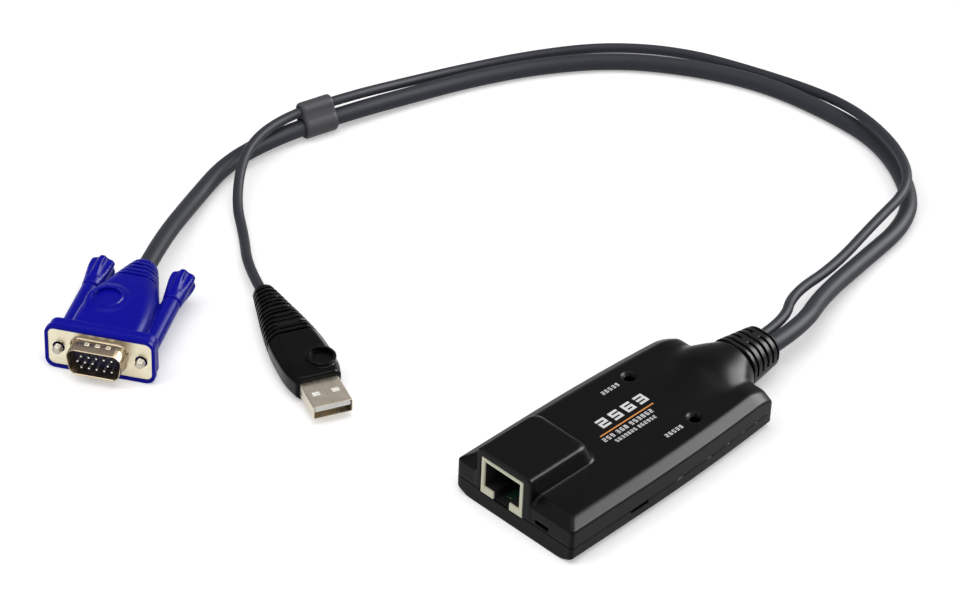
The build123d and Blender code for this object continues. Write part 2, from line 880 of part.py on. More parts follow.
def make_vga_hood():
    hood = loft([(across(s[0]) * vga_hood_outline(s[0], 0)).face() for s in vga_hood_stations])
    for i in range(vga_groove_count):
        y = vga_groove_first + i * vga_groove_pitch
        ring = slab(Rectangle(big, big), y, y + vga_groove_width)
        hood -= ring - slab(vga_hood_outline(y, vga_groove_depth), y - 1, y + 2)
    boss_x, boss_y = vga_boss_place
    top = between(vga_hood_stations, boss_y)[2] / 2
    place = Pos(boss_x, boss_y, top + vga_boss_rise)
    down = (Align.CENTER, Align.CENTER, Align.MAX)
    boss = place * Cylinder(vga_boss_radius, vga_boss_rise + 2, align=down)
    boss = fillet(boss.edges().group_by(Axis.Z)[-1], 0.35)
    hood += boss
    hood -= place * Cylinder(vga_boss_dish, vga_boss_depth, align=down)
    half = screw_spread / 2
    for side in (-1, 1):
        hood += rod(side * half, 0, flange_back - 0.5, barrel_end, barrel_radius)
    hood += block(-half, half, flange_back - 0.5, web_end, -web_thickness / 2, web_thickness / 2)
    step = flange_front + flange_groove
    hood += slab(RectangleRounded(flange_width, flange_height, flange_corner), -flange_lip, flange_front)
    inner_width = flange_width - 4 * flange_step
    inner_height = flange_height - 4 * flange_step
    hood += slab(RectangleRounded(inner_width, inner_height, flange_corner - flange_step), flange_front, step)
    back_width = flange_width - 2 * flange_step
    back_height = flange_height - 2 * flange_step
    back = slab(RectangleRounded(back_width, back_height, flange_corner), step, flange_back)
    hood += fillet(back.edges().group_by(Axis.Y)[-1], 0.8)
    seat = RectangleRounded(
        plate_width + 2 * plate_clearance, plate_height + 2 * plate_clearance, plate_corner + plate_clearance
    )
    hood -= slab(seat, -flange_lip - 1, plate_thickness)
    pocket = d_outline(shell_width - 2 * shell_sheet, shell_height - 2 * shell_sheet, shell_corner - shell_sheet)
    hood -= slab(pocket, 0, vga_pocket)
    hood -= screw_holes(bore_radius, -1, barrel_end + 1)
    return hood


def make_knob(side):
    """A thumbscrew's grip: a flared turned form with six flutes."""
    x = side * screw_spread / 2
    last_run, last_radius = knob_radii[-1]
    outline = [(0.0, 0.0)]
    outline += [(radius, run) for run, radius in knob_radii]
    outline += [(knob_tip_radius, knob_length), (0.0, knob_length)]
    grip = revolve(Plane.XY * Polygon(*outline, align=None), Axis.Y)
    grip = fillet(grip.edges().filter_by_position(Axis.Y, last_run - 0.1, last_run + 0.1), 0.6)
    flute = slab(Circle(flute_radius), flute_start, knob_length + 1)
    flute += Pos(0, flute_start, 0) * Sphere(flute_radius)
    for i in range(flute_count):
        angle = 2 * pi * i / flute_count
        grip -= Pos(flute_circle * cos(angle), 0, flute_circle * sin(angle)) * flute
    grip -= slab(Circle(shaft_radius), -1, shaft_end - knob_front)
    return Pos(x, knob_front, 0) * grip


def make_shaft(side):
    """A thumbscrew's steel shaft: thread tip, thin shank and the part held in the grip."""
    x = side * screw_spread / 2
    outline = [
        (0.0, -thread_reach),
        (thread_radius - thread_tip, -thread_reach),
        (thread_radius, -thread_reach + thread_tip),
        (thread_radius, thread_back),
        (shank_radius, thread_back + thread_tip),
        (shank_radius, shank_end),
        (shaft_radius, shank_end + thread_tip),
        (shaft_radius, shaft_end),
        (0.0, shaft_end),
    ]
    return Pos(x, 0, 0) * revolve(Plane.XY * Polygon(*outline, align=None), Axis.Y)


# Small plug, built along its own axis in the same way
def make_usb_shell():
    outer = slab(RectangleRounded(usb_width, usb_height, usb_corner), 0, usb_shell_length)
    inner = RectangleRounded(usb_width - 2 * usb_sheet, usb_height - 2 * usb_sheet, usb_corner - usb_sheet)
    shell = outer - slab(inner, -1, usb_shell_length + 1)
    for side in (-1, 1):
        x = side * usb_window_x
        shell -= block(
            x - usb_window_width / 2, x + usb_window_width / 2,
            usb_window_run - usb_window_length / 2, usb_window_run + usb_window_length / 2,
            -usb_height, usb_height,
        )
    shell -= block(-usb_seam / 2, usb_seam / 2, -1, usb_shell_length + 1, 0, usb_height)
    return shell


tongue_top = usb_height / 2 - usb_sheet


def make_tongue():
    half = tongue_width / 2
    tongue = block(-half, half, tongue_front, tongue_back, tongue_top - tongue_thickness, tongue_top)
    return chamfer(tongue.edges().group_by(Axis.Y)[0].group_by(Axis.Z)[0], 0.4)


def make_usb_contacts():
    strips = []
    top = tongue_top - tongue_thickness
    for x, start in usb_contact_places:
        strip = block(
            x - usb_contact_width / 2, x + usb_contact_width / 2, start, usb_contact_end,
            top - usb_contact_thickness, top,
        )
        strips.append(strip.solid())
    return Compound(children=strips)


def usb_hood_outline(y, depth):
    _, wide, high, cut, corner = between(usb_hood_stations, y)
    half_w = wide / 2 - depth
    half_h = high / 2 - depth
    points = [
        (half_w - cut, -half_h), (half_w, -half_h + cut), (half_w, half_h - cut), (half_w - cut, half_h),
        (-half_w + cut, half_h), (-half_w, half_h - cut), (-half_w, -half_h + cut), (-half_w + cut, -half_h),
    ]
    shape = Polygon(*points, align=None)
    return fillet(shape.vertices(), corner)


def make_usb_hood():
    hood = loft([(across(s[0]) * usb_hood_outline(s[0], 0)).face() for s in usb_hood_stations])
    for i in range(usb_rib_count):
        y = usb_rib_first + i * usb_rib_pitch
        ring = slab(Rectangle(big, big), y, y + usb_rib_width)
        hood -= ring - slab(usb_hood_outline(y, usb_rib_depth), y - 1, y + 2)
    boss_x, boss_y = usb_boss_place
    top = between(usb_hood_stations, boss_y)[2] / 2
    place = Pos(boss_x, boss_y, top + usb_boss_rise)
    down = (Align.CENTER, Align.CENTER, Align.MAX)
    boss = place * Cylinder(usb_boss_radius, usb_boss_rise + 1.0, align=down)
    hood += fillet(boss.edges().group_by(Axis.Z)[-1], 0.35)
    hood -= place * Cylinder(usb_boss_dish, usb_boss_depth, align=down)
    pocket = RectangleRounded(usb_width, usb_height, usb_corner)
    return hood - slab(pocket, usb_hood_start - 1, usb_shell_length)


def plug_frame(place, heading):
    angle = radians(heading)
    return Plane(origin=place, x_dir=(cos(angle), sin(angle), 0), z_dir=(0, 0, 1))


def main():
    upper, lower = make_shells()
    vga = plug_frame(vga_place, vga_heading)
    usb = plug_frame(usb_place, usb_heading)
    nodes = {
        "upper_shell": upper,
        "lower_shell": lower,
        "circuit_board": make_board(),
        "rj45_jack": make_jack(),
        "jack_contacts": make_jack_contacts(),
        "online_led": make_lamp(-1),
        "power_led": make_lamp(1),
        "led_spacers": make_spacers(),
        "controller_chip": make_controller(),
        "video_driver_chip": make_driver(),
        "crystal_can": make_crystal(),
        "capacitors": make_capacitors(),
        "cable_header": make_header(),
        "cable_cores": make_cores(),
        "strain_relief_boot": make_boot(),
        "vga_cable": make_cord("vga_cable", vga_route, vga_cord_diameter),
        "usb_cable": make_cord("usb_cable", usb_route, usb_cord_diameter),
        "cable_sleeve": make_sleeve(),
        "vga_hood": vga * make_vga_hood(),
        "vga_shell": vga * make_vga_shell(),
        "vga_insulator": vga * make_insulator(),
        "vga_pins": vga * make_pins(),
        "left_thumbscrew_knob": vga * make_knob(-1),
        "left_thumbscrew_shaft": vga * make_shaft(-1),
        "right_thumbscrew_knob": vga * make_knob(1),
        "right_thumbscrew_shaft": vga * make_shaft(1),
        "usb_hood": usb * make_usb_hood(),
        "usb_shell": usb * make_usb_shell(),
        "usb_tongue": usb * make_tongue(),
        "usb_contacts": usb * make_usb_contacts(),
    }
    os.makedirs("parts", exist_ok=True)
    for name, shape in nodes.items():
        export_step(shape, f"parts/{name}.step")
        print(name, round(shape.volume, 2), len(shape.solids()))


main()
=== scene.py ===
from math import cos, hypot, pi, radians, sin, tan

import bmesh
import bpy
import numpy as np
from mathutils import Matrix, Vector


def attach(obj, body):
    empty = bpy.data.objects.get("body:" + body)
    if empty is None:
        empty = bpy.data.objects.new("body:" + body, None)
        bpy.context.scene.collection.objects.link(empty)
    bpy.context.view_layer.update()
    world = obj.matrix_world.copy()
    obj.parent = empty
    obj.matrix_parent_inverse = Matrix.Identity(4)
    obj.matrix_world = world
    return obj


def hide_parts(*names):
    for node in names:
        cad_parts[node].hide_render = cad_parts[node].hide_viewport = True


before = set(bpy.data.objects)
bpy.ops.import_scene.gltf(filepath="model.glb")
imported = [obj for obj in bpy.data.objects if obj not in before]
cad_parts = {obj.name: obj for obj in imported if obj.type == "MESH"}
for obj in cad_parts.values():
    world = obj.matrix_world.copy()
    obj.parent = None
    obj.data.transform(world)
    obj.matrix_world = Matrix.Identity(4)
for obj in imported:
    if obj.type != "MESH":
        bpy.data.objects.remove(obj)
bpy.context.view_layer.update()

bl_info = {
    "name": "Console Adapter",
    "version": (1, 0, 0),
    "blender": (4, 5, 0),
    "location": "3D View > Sidebar > Adapter",
    "description": "Builds the looks of a console adapter: module, forked cords and two plugs",
    "category": "Object",
}

MM = 0.001

# Module, in millimetres: origin under its middle, socket face at -Y
FRONT, REAR = -43.0, 43.0
HALF_WIDTH = 22.1
SIDE_BEND = -15.0
SIDE_ARC = 731.0
WAIST, TOP = 11.4, 13.4
BEVEL = (2.0 / hypot(2.0, 3.45), 3.45 / hypot(2.0, 3.45))
FOOT = (1.7 / hypot(1.7, 4.0), 4.0 / hypot(1.7, 4.0))
SEAM_LOW, SEAM_HIGH = 5.6, 5.8
WALL = 1.6
BUMP = (-14.6, 6.1, 20.2, -20.1)
OUTLET_RUN = (17.0, 24.0, 30.0, 35.4, 39.5, 43.0, 48.2)
OUTLET_HALF_WIDE = (14.5, 14.5, 14.5, 14.4, 13.6, 11.9, 8.4)
OUTLET_HALF_HIGH = (4.6, 5.8, 6.65, 7.8, 8.0, 7.8, 7.2)
LAMP_PLACES = ((-12.6, 17.2), (12.6, 17.2))
JACK_MIDDLE, JACK_FLOOR = -4.9, 5.1

# Strain relief
NOZZLE_END = 48.2
BOOT_START, BOOT_END = 48.5, 62.0
BOOT_MIDDLE = 8.3

# Screen plug and small plug: place, heading in degrees
VGA_PLACE, VGA_HEADING = (-128.83, -81.89, 7.6), 30.92
USB_PLACE, USB_HEADING = (-67.4, -47.4, 4.5), 67.3
SCREW = 12.495
PLATE_WIDE, PLATE_HIGH, PLATE_CORNER, PLATE_THICK = 31.2, 12.7, 2.0, 0.9
SHELL_WIDE, SHELL_HIGH, SHELL_CORNER, SHELL_SLOPE = 17.7, 9.1, 2.8, 10.0
PIN_PITCH, PIN_ROW = 2.29, 1.98
GRIP_START, GRIP_END = 28.4, 41.3
THREAD_RADIUS, THREAD_PITCH, THREAD_TIP = 1.42, 0.635, -2.3

# Cords
THICK_RADIUS, THIN_RADIUS = 2.75, 1.6
SLEEVE_MIDDLE = (-175.9, 49.0, 3.9)
SLEEVE_AXIS = (-0.225, -0.974, 0.0)
SLEEVE_OFFSET = (-1.75, 0.4, 4.85)
VGA_ROUTE = [
    (2.0, 62.0, 8.6), (2.0, 77.0, 8.6), (-5.48, 95.0, 5.9), (-10.88, 120.28, 2.9), (-14.01, 145.01, 2.75),
    (-23.82, 160.41, 2.75), (-47.42, 174.24, 2.75), (-71.82, 175.23, 2.75), (-96.44, 171.89, 2.75),
    (-118.47, 161.19, 2.75), (-137.72, 146.21, 2.75), (-151.98, 125.37, 2.75), (-161.77, 103.19, 2.75),
    (-168.5, 79.73, 3.2), (-173.133, 60.98, 3.9), (-178.668, 37.02, 3.9), (-180.3, 14.55, 2.9),
    (-171.38, -7.6, 3.6), (-158.428, -32.476, 7.6), (-150.72, -45.344, 7.6),
]
USB_ROUTE = [
    (-3.05, 62.0, 8.6), (-3.05, 75.0, 8.6), (-10.43, 86.63, 8.11), (-12.08, 108.67, 6.51),
    (-15.91, 131.7, 9.26), (-18.55, 152.21, 11.36), (-32.97, 165.38, 10.81), (-54.56, 174.53, 8.92),
    (-76.05, 180.36, 4.21), (-102.78, 176.89, 1.6), (-126.37, 168.23, 1.6), (-145.31, 151.98, 1.89),
    (-158.05, 130.86, 2.0), (-167.49, 108.26, 2.21), (-172.23, 84.72, 4.91), (-174.883, 61.38, 8.75),
    (-180.418, 37.42, 8.75), (-174.24, 15.9, 10.0), (-161.86, 1.01, 3.95), (-149.34, -6.99, 1.6),
    (-133.822, -19.615, 4.5), (-121.829, -24.632, 4.5),
]


# Fields: signed distances in millimetres, on arrays
def smooth_max(a, b, k):
    h = np.clip(0.5 + 0.5 * (a - b) / k, 0.0, 1.0)
    return b + (a - b) * h + k * h * (1.0 - h)


def smooth_min(a, b, k):
    return -smooth_max(-a, -b, k)


def cut(a, b, k=0.15):
    """What is left of a when b is taken away."""
    return smooth_max(a, -b, k)


def slab(v, low, high):
    return np.maximum(low - v, v - high)


def rounded_rect(x, z, half_x, half_z, corner):
    qx = np.abs(x) - half_x + corner
    qz = np.abs(z) - half_z + corner
    outside = np.hypot(np.maximum(qx, 0.0), np.maximum(qz, 0.0))
    return np.minimum(np.maximum(qx, qz), 0.0) + outside - corner


def ease(v, runs, values):
    """A smooth curve through the values at the given runs."""
    runs, values = np.asarray(runs, float), np.asarray(values, float)
    slopes = np.gradient(values, runs)
    v = np.clip(v, runs[0], runs[-1])
    i = np.clip(np.searchsorted(runs, v) - 1, 0, len(runs) - 2)
    step = runs[i + 1] - runs[i]
    t = (v - runs[i]) / step
    a, b = values[i], values[i + 1]
    ma, mb = slopes[i] * step, slopes[i + 1] * step
    return a + t * ma + t * t * (3 * (b - a) - 2 * ma - mb) + t ** 3 * (2 * (a - b) + ma + mb)


def contour(field, low, high, cell):
    """Points and quads of a field's surface, with a corner kept sharp where two faces meet."""
    axes = [np.arange(a, b + cell, cell) for a, b in zip(low, high)]
    grid = np.meshgrid(*axes, indexing="ij")
    depth = field(*grid)
    size = np.array(depth.shape)
    edges = []
    for a in range(3):
        ahead = [slice(None)] * 3
        here = [slice(None)] * 3
        ahead[a], here[a] = slice(1, None), slice(None, -1)
        d0, d1 = depth[tuple(here)], depth[tuple(ahead)]
        found = np.argwhere((d0 < 0) != (d1 < 0))
        pick = tuple(found.T)
        t = d0[pick] / (d0[pick] - d1[pick])
        points = np.stack([axes[i][found[:, i]] for i in range(3)], axis=1)
        points[:, a] += t * cell
        b, c = (a + 1) % 3, (a + 2) % 3
        ring = []
        for db, dc in ((-1, -1), (0, -1), (0, 0), (-1, 0)):
            cells = found.copy()
            cells[:, b] += db
            cells[:, c] += dc
            ring.append(cells @ np.array([size[1] * size[2], size[2], 1]))
        ring = np.stack(ring, axis=1)
        outward = d0[pick] < 0
        ring[~outward] = ring[~outward][:, ::-1]
        edges.append((points, ring))
    points = np.concatenate([e[0] for e in edges])
    rings = np.concatenate([e[1] for e in edges])
    h = cell * 0.05
    slope = np.empty_like(points)
    for i in range(3):
        step = np.zeros(3)
        step[i] = h
        slope[:, i] = field(*(points + step).T) - field(*(points - step).T)
    slope /= np.maximum(np.linalg.norm(slope, axis=1, keepdims=True), 1e-9)

    ids, quads = np.unique(rings, return_inverse=True)
    quads = quads.reshape(rings.shape)
    owner = quads.ravel()
    p = np.repeat(points, 4, axis=0)
    n = np.repeat(slope, 4, axis=0)
    count = np.bincount(owner, minlength=len(ids))
    middle = np.stack([np.bincount(owner, p[:, i]) for i in range(3)], axis=1) / count[:, None]
    gap = np.einsum("ij,ij->i", n, p - middle[owner])
    system = np.empty((len(ids), 3, 3))
    right = np.empty((len(ids), 3))
    for i in range(3):
        right[:, i] = np.bincount(owner, n[:, i] * gap)
        for j in range(3):
            system[:, i, j] = np.bincount(owner, n[:, i] * n[:, j])
    system += np.eye(3) * 0.06
    place = middle + np.linalg.solve(system, right[:, :, None])[:, :, 0]
    corner = np.stack(np.unravel_index(ids, size), axis=1) * cell + np.array([a[0] for a in axes])
    return np.clip(place, corner, corner + cell), quads


# Meshes
def finish_object(name, mesh, material, body, node=(), matrix=None, smooth=True, sharp=32.0):
    if smooth:
        mesh.shade_smooth()
        mesh.set_sharp_from_angle(angle=radians(sharp))
    if material:
        mesh.materials.append(material)
    if matrix is not None:
        mesh.transform(matrix)
    mesh.update()
    piece = bpy.data.objects.new(name, mesh)
    bpy.context.scene.collection.objects.link(piece)
    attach(piece, body)
    if node:
        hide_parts(*node)
    return piece


def mesh_of(name, points, faces):
    """A mesh from points in millimetres."""
    mesh = bpy.data.meshes.new(name)
    mesh.from_pydata((np.asarray(points, float) * MM).tolist(), [], [list(map(int, f)) for f in faces])
    mesh.validate()
    return mesh


def moulded(name, field, low, high, cell, material, body, node=(), matrix=None):
    points, quads = contour(field, low, high, cell)
    return finish_object(name, mesh_of(name, points, quads), material, body, node, matrix)


def ring_faces(rings, points_each, close=True):
    faces = []
    for r in range(rings - 1):
        for i in range(points_each if close else points_each - 1):
            j = (i + 1) % points_each
            a, b = r * points_each, (r + 1) * points_each
            faces.append((a + i, a + j, b + j, b + i))
    return faces


def rounded_outline(points, corner, steps=6):
    """A closed outline in X and Z with its corners rounded."""
    outline = []
    count = len(points)
    for i in range(count):
        here = Vector(points[i])
        back = (Vector(points[i - 1]) - here).normalized()
        ahead = (Vector(points[(i + 1) % count]) - here).normalized()
        half = back.angle(ahead) / 2
        reach = corner / tan(half)
        centre = here + (back + ahead).normalized() * (corner / sin(half))
        start, end = here + back * reach - centre, here + ahead * reach - centre
        turn = start.angle_signed(end)
        for k in range(steps + 1):
            spun = start.copy()
            spun.rotate(Matrix.Rotation(-turn * k / steps, 2))
            outline.append(centre + spun)
    return [(p.x, p.y) for p in outline]


def d_outline(wide, high, corner, steps=6):
    """The screen plug's outline, with its wide side up."""
    x, z = wide / 2, high / 2
    lean = tan(radians(SHELL_SLOPE)) * high
    return rounded_outline([(-x + lean, -z), (x - lean, -z), (x, z), (-x, z)], corner, steps)


def box_outline(wide, high, corner, steps=6):
    x, z = wide / 2, high / 2
    return rounded_outline([(-x, -z), (x, -z), (x, z), (-x, z)], corner, steps)


def loft_mesh(name, rings, caps=(True, True)):
    """A skin over rings of (x, y, z) points, closed at its ends where asked."""
    each = len(rings[0])
    points = [p for ring in rings for p in ring]
    faces = ring_faces(len(rings), each)
    if caps[0]:
        faces.append(tuple(range(each)))
    if caps[1]:
        base = (len(rings) - 1) * each
        faces.append(tuple(reversed(range(base, base + each))))
    mesh = mesh_of(name, points, faces)
    return outward(mesh)


def outward(mesh):
    form = bmesh.new()
    form.from_mesh(mesh)
    bmesh.ops.remove_doubles(form, verts=form.verts, dist=1e-7)
    bmesh.ops.recalc_face_normals(form, faces=form.faces)
    form.to_mesh(mesh)
    form.free()
    return mesh


def plate_mesh(name, outline, holes, y0, y1, bevel):
    """A flat piece with holes, from outlines in X and Z, with its edges broken."""
    form = bmesh.new()
    for loop in [outline] + holes:
        made = [form.verts.new((x * MM, y0 * MM, z * MM)) for x, z in loop]
        for a, b in zip(made, made[1:] + made[:1]):
            form.edges.new((a, b))
    bmesh.ops.triangle_fill(form, edges=form.edges[:], use_beauty=True, use_dissolve=False)
    bmesh.ops.dissolve_limit(form, angle_limit=0.01, verts=form.verts[:], edges=form.edges[:])
    grown = bmesh.ops.extrude_face_region(form, geom=form.faces[:])
    moved = [v for v in grown["geom"] if isinstance(v, bmesh.types.BMVert)]
    bmesh.ops.translate(form, verts=moved, vec=(0, (y1 - y0) * MM, 0))
    bmesh.ops.recalc_face_normals(form, faces=form.faces[:])
    if bevel:
        sharp = [e for e in form.edges if e.is_manifold and e.calc_face_angle() > radians(50)]
        bmesh.ops.bevel(form, geom=sharp, offset=bevel * MM, segments=2, affect="EDGES", clamp_overlap=True)
    mesh = bpy.data.meshes.new(name)
    form.to_mesh(mesh)
    form.free()
    return mesh


def rect(x0, x1, z0, z1):
    return [(x0, z0), (x1, z0), (x1, z1), (x0, z1)]


def turned(name, profile, steps=40, middle=(0.0, 0.0)):
    """A turned form about an axis along Y, from (radius, y) pairs."""
    rings = []
    for radius, y in profile:
        ring = []
        for i in range(steps):
            angle = 2 * pi * i / steps
            ring.append((middle[0] + radius * cos(angle), y, middle[1] + radius * sin(angle)))
        rings.append(ring)
    return loft_mesh(name, rings)


def joined(meshes, name):
    form = bmesh.new()
    for mesh in meshes:
        form.from_mesh(mesh)
        bpy.data.meshes.remove(mesh)
    mesh = bpy.data.meshes.new(name)
    form.to_mesh(mesh)
    form.free()
    return mesh


def plug_matrix(place, heading):
    turn = Matrix.Rotation(radians(heading), 4, "Z")
    return Matrix.Translation(Vector(place) * MM) @ turn


# Shader groups and materials
def new_group(name, inputs, outputs):
    group = bpy.data.node_groups.new(name, "ShaderNodeTree")
    for label, kind, value in inputs:
        socket = group.interface.new_socket(name=label, in_out="INPUT", socket_type=kind)
        socket.default_value = value
    for label, kind in outputs:
        group.interface.new_socket(name=label, in_out="OUTPUT", socket_type=kind)
    start = group.nodes.new("NodeGroupInput")
    end = group.nodes.new("NodeGroupOutput")
    return group, start, end


def math_node(nodes, operation, *values):
    """A maths node with its fixed inputs set, and None where a link comes in."""
    node = nodes.new("ShaderNodeMath")
    node.operation = operation
    for socket, value in zip(node.inputs, values):
        if value is not None:
            socket.default_value = value
    return node


def grain_group():
    """Fine moulded grain with slow cloudiness: tone, roughness and height."""
    group, start, end = new_group(
        "Moulded grain",
        [("Colour", "NodeSocketColor", (0.5, 0.5, 0.5, 1.0)), ("Roughness", "NodeSocketFloat", 0.5),
         ("Grain size", "NodeSocketFloat", 3000.0), ("Cloud size", "NodeSocketFloat", 60.0),
         ("Variation", "NodeSocketFloat", 0.1)],
        [("Colour", "NodeSocketColor"), ("Roughness", "NodeSocketFloat"), ("Height", "NodeSocketFloat")],
    )
    nodes, links = group.nodes, group.links
    where = nodes.new("ShaderNodeTexCoord")
    grain = nodes.new("ShaderNodeTexNoise")
    grain.inputs["Detail"].default_value = 3.0
    cloud = nodes.new("ShaderNodeTexNoise")
    cloud.inputs["Detail"].default_value = 4.0
    for noise, size in ((grain, "Grain size"), (cloud, "Cloud size")):
        links.new(where.outputs["Object"], noise.inputs["Vector"])
        links.new(start.outputs[size], noise.inputs["Scale"])
    centred = math_node(nodes, "SUBTRACT", None, 0.5)
    links.new(cloud.outputs["Fac"], centred.inputs[0])
    swing = math_node(nodes, "MULTIPLY")
    links.new(centred.outputs[0], swing.inputs[0])
    links.new(start.outputs["Variation"], swing.inputs[1])
    rough = math_node(nodes, "ADD")
    rough.use_clamp = True
    links.new(start.outputs["Roughness"], rough.inputs[0])
    links.new(swing.outputs[0], rough.inputs[1])
    bright = math_node(nodes, "MULTIPLY_ADD", None, 1.5, 1.0)
    links.new(swing.outputs[0], bright.inputs[0])
    tone = nodes.new("ShaderNodeVectorMath")
    tone.operation = "SCALE"
    links.new(start.outputs["Colour"], tone.inputs[0])
    links.new(bright.outputs[0], tone.inputs["Scale"])
    links.new(tone.outputs[0], end.inputs["Colour"])
    links.new(rough.outputs[0], end.inputs["Roughness"])
    links.new(grain.outputs["Fac"], end.inputs["Height"])
    return group


def metal_group():
    """Rolled sheet: fine streaks across X and faint stains."""
    group, start, end = new_group(
        "Rolled metal",
        [("Colour", "NodeSocketColor", (0.7, 0.7, 0.7, 1.0)),
         ("Stain", "NodeSocketColor", (0.4, 0.35, 0.25, 1.0)),
         ("Roughness", "NodeSocketFloat", 0.3), ("Stain amount", "NodeSocketFloat", 0.3)],
        [("Colour", "NodeSocketColor"), ("Roughness", "NodeSocketFloat"), ("Height", "NodeSocketFloat")],
    )
    nodes, links = group.nodes, group.links
    where = nodes.new("ShaderNodeTexCoord")
    stretch = nodes.new("ShaderNodeMapping")
    stretch.inputs["Scale"].default_value = (300.0, 300.0, 4000.0)
    streak = nodes.new("ShaderNodeTexNoise")
    streak.inputs["Scale"].default_value = 1.0
    streak.inputs["Detail"].default_value = 4.0
    cloud = nodes.new("ShaderNodeTexNoise")
    cloud.inputs["Scale"].default_value = 260.0
    cloud.inputs["Detail"].default_value = 5.0
    links.new(where.outputs["Object"], stretch.inputs["Vector"])
    links.new(stretch.outputs[0], streak.inputs["Vector"])
    links.new(where.outputs["Object"], cloud.inputs["Vector"])
    spread = nodes.new("ShaderNodeMapRange")
    spread.inputs["From Min"].default_value = 0.45
    spread.inputs["From Max"].default_value = 0.75
    links.new(cloud.outputs["Fac"], spread.inputs["Value"])
    amount = math_node(nodes, "MULTIPLY")
    links.new(spread.outputs["Result"], amount.inputs[0])
    links.new(start.outputs["Stain amount"], amount.inputs[1])
    mix = nodes.new("ShaderNodeMix")
    mix.data_type = "RGBA"
    links.new(amount.outputs[0], mix.inputs["Factor"])
    links.new(start.outputs["Colour"], mix.inputs["A"])
    links.new(start.outputs["Stain"], mix.inputs["B"])
    rough = math_node(nodes, "MULTIPLY_ADD", None, 0.16)
    links.new(streak.outputs["Fac"], rough.inputs[0])
    links.new(start.outputs["Roughness"], rough.inputs[2])
    links.new(mix.outputs["Result"], end.inputs["Colour"])
    links.new(rough.outputs[0], end.inputs["Roughness"])
    links.new(streak.outputs["Fac"], end.inputs["Height"])
    return group


def shaded(name, group, values, bump, metallic=0.0, coat=0.0, specular=0.5):
    """A material of one group: its colour, roughness and bumps feed the shader."""
    material = bpy.data.materials.new(name)
    material.use_nodes = True
    nodes, links = material.node_tree.nodes, material.node_tree.links
    shader = nodes["Principled BSDF"]
    shader.inputs["Metallic"].default_value = metallic
    shader.inputs["Coat Weight"].default_value = coat
    shader.inputs["Coat Roughness"].default_value = 0.25
    shader.inputs["Specular IOR Level"].default_value = specular
    effect = nodes.new("ShaderNodeGroup")
    effect.node_tree = group
    for label, value in values.items():
        effect.inputs[label].default_value = value
    relief = nodes.new("ShaderNodeBump")
    relief.inputs["Strength"].default_value = bump
    relief.inputs["Distance"].default_value = 0.0001
    links.new(effect.outputs["Colour"], shader.inputs["Base Color"])
    links.new(effect.outputs["Roughness"], shader.inputs["Roughness"])
    links.new(effect.outputs["Height"], relief.inputs["Height"])
    links.new(relief.outputs["Normal"], shader.inputs["Normal"])
    return material


def plastic(name, colour, roughness, bump=0.12, grain=3200.0, cloud=70.0, variation=0.12, **more):
    values = {"Colour": (*colour, 1.0), "Roughness": roughness, "Grain size": grain,
              "Cloud size": cloud, "Variation": variation}
    return shaded(name, bpy.data.node_groups["Moulded grain"], values, bump, **more)


def metal(name, colour, stain, roughness, amount, bump=0.05):
    values = {"Colour": (*colour, 1.0), "Stain": (*stain, 1.0), "Roughness": roughness,
              "Stain amount": amount}
    return shaded(name, bpy.data.node_groups["Rolled metal"], values, bump, metallic=1.0)


def finish(name):
    return bpy.data.materials[name]


# Module forms
def past_side(x, y):
    """How far a place lies past the module's bowed sides."""
    run = np.maximum(0.0, y - SIDE_BEND)
    return np.abs(x) - (HALF_WIDTH - SIDE_ARC + np.sqrt(SIDE_ARC ** 2 - run ** 2))


def module_body(x, y, z):
    """The plain module, without its raised parts."""
    fall = 16.0 - np.sqrt(256.0 - np.clip(y - 35.0, 0.0, 12.0) ** 2)
    side = past_side(x, y)
    nose = FRONT - y
    bevel = side * BEVEL[0] + (z - WAIST + fall) * BEVEL[1]
    nose_bevel = nose * BEVEL[0] + (z - WAIST) * BEVEL[1]
    foot = side * FOOT[0] - (z - 1.7) * FOOT[1]
    form = smooth_max(side, nose, 1.3)
    form = smooth_max(form, smooth_max(bevel, nose_bevel, 0.5), 0.5)
    form = smooth_max(form, z - TOP + fall, 0.5)
    form = smooth_max(form, foot, 0.6)
    form = smooth_max(form, -z, 0.4)
    return form


def socket_bump(x, y, z):
    left, right, top, run = BUMP
    side = np.abs(x - (left + right) / 2) - (right - left) / 2
    back = (y - run) * 0.891 + (z - top) * 0.454
    form = smooth_max(side, back, 3.2)
    form = smooth_max(form, z - top, 1.6)
    return np.maximum(form, 6.0 - z)


def cable_outlet(x, y, z):
    half_x = ease(y, OUTLET_RUN, OUTLET_HALF_WIDE)
    half_z = ease(y, OUTLET_RUN, OUTLET_HALF_HIGH)
    share = np.hypot(x / half_x, (z - BOOT_MIDDLE) / half_z)
    slope = np.maximum(np.hypot(x / half_x ** 2, (z - BOOT_MIDDLE) / half_z ** 2), 1e-3)
    form = np.maximum(share * (share - 1.0) / slope, -4.0)
    return np.maximum(smooth_max(form * 0.95, y - NOZZLE_END, 0.9), 16.0 - y)


def module_form(x, y, z):
    form = smooth_min(module_body(x, y, z), socket_bump(x, y, z), 1.0)
    form = smooth_max(form, y - REAR, 0.5)
    form = smooth_max(form, FRONT - y, 0.5)
    return smooth_min(form, cable_outlet(x, y, z), 1.1)


def jack_room(x, y, z):
    mouth = np.maximum(slab(x, JACK_MIDDLE - 8.15, JACK_MIDDLE + 8.15), slab(z, 4.95, 17.95))
    return np.maximum(mouth, y + 40.0)


def neck_room(x, y, z):
    return np.maximum(rounded_rect(x, z - BOOT_MIDDLE, 5.8, 4.4, 3.6), 44.0 - y)


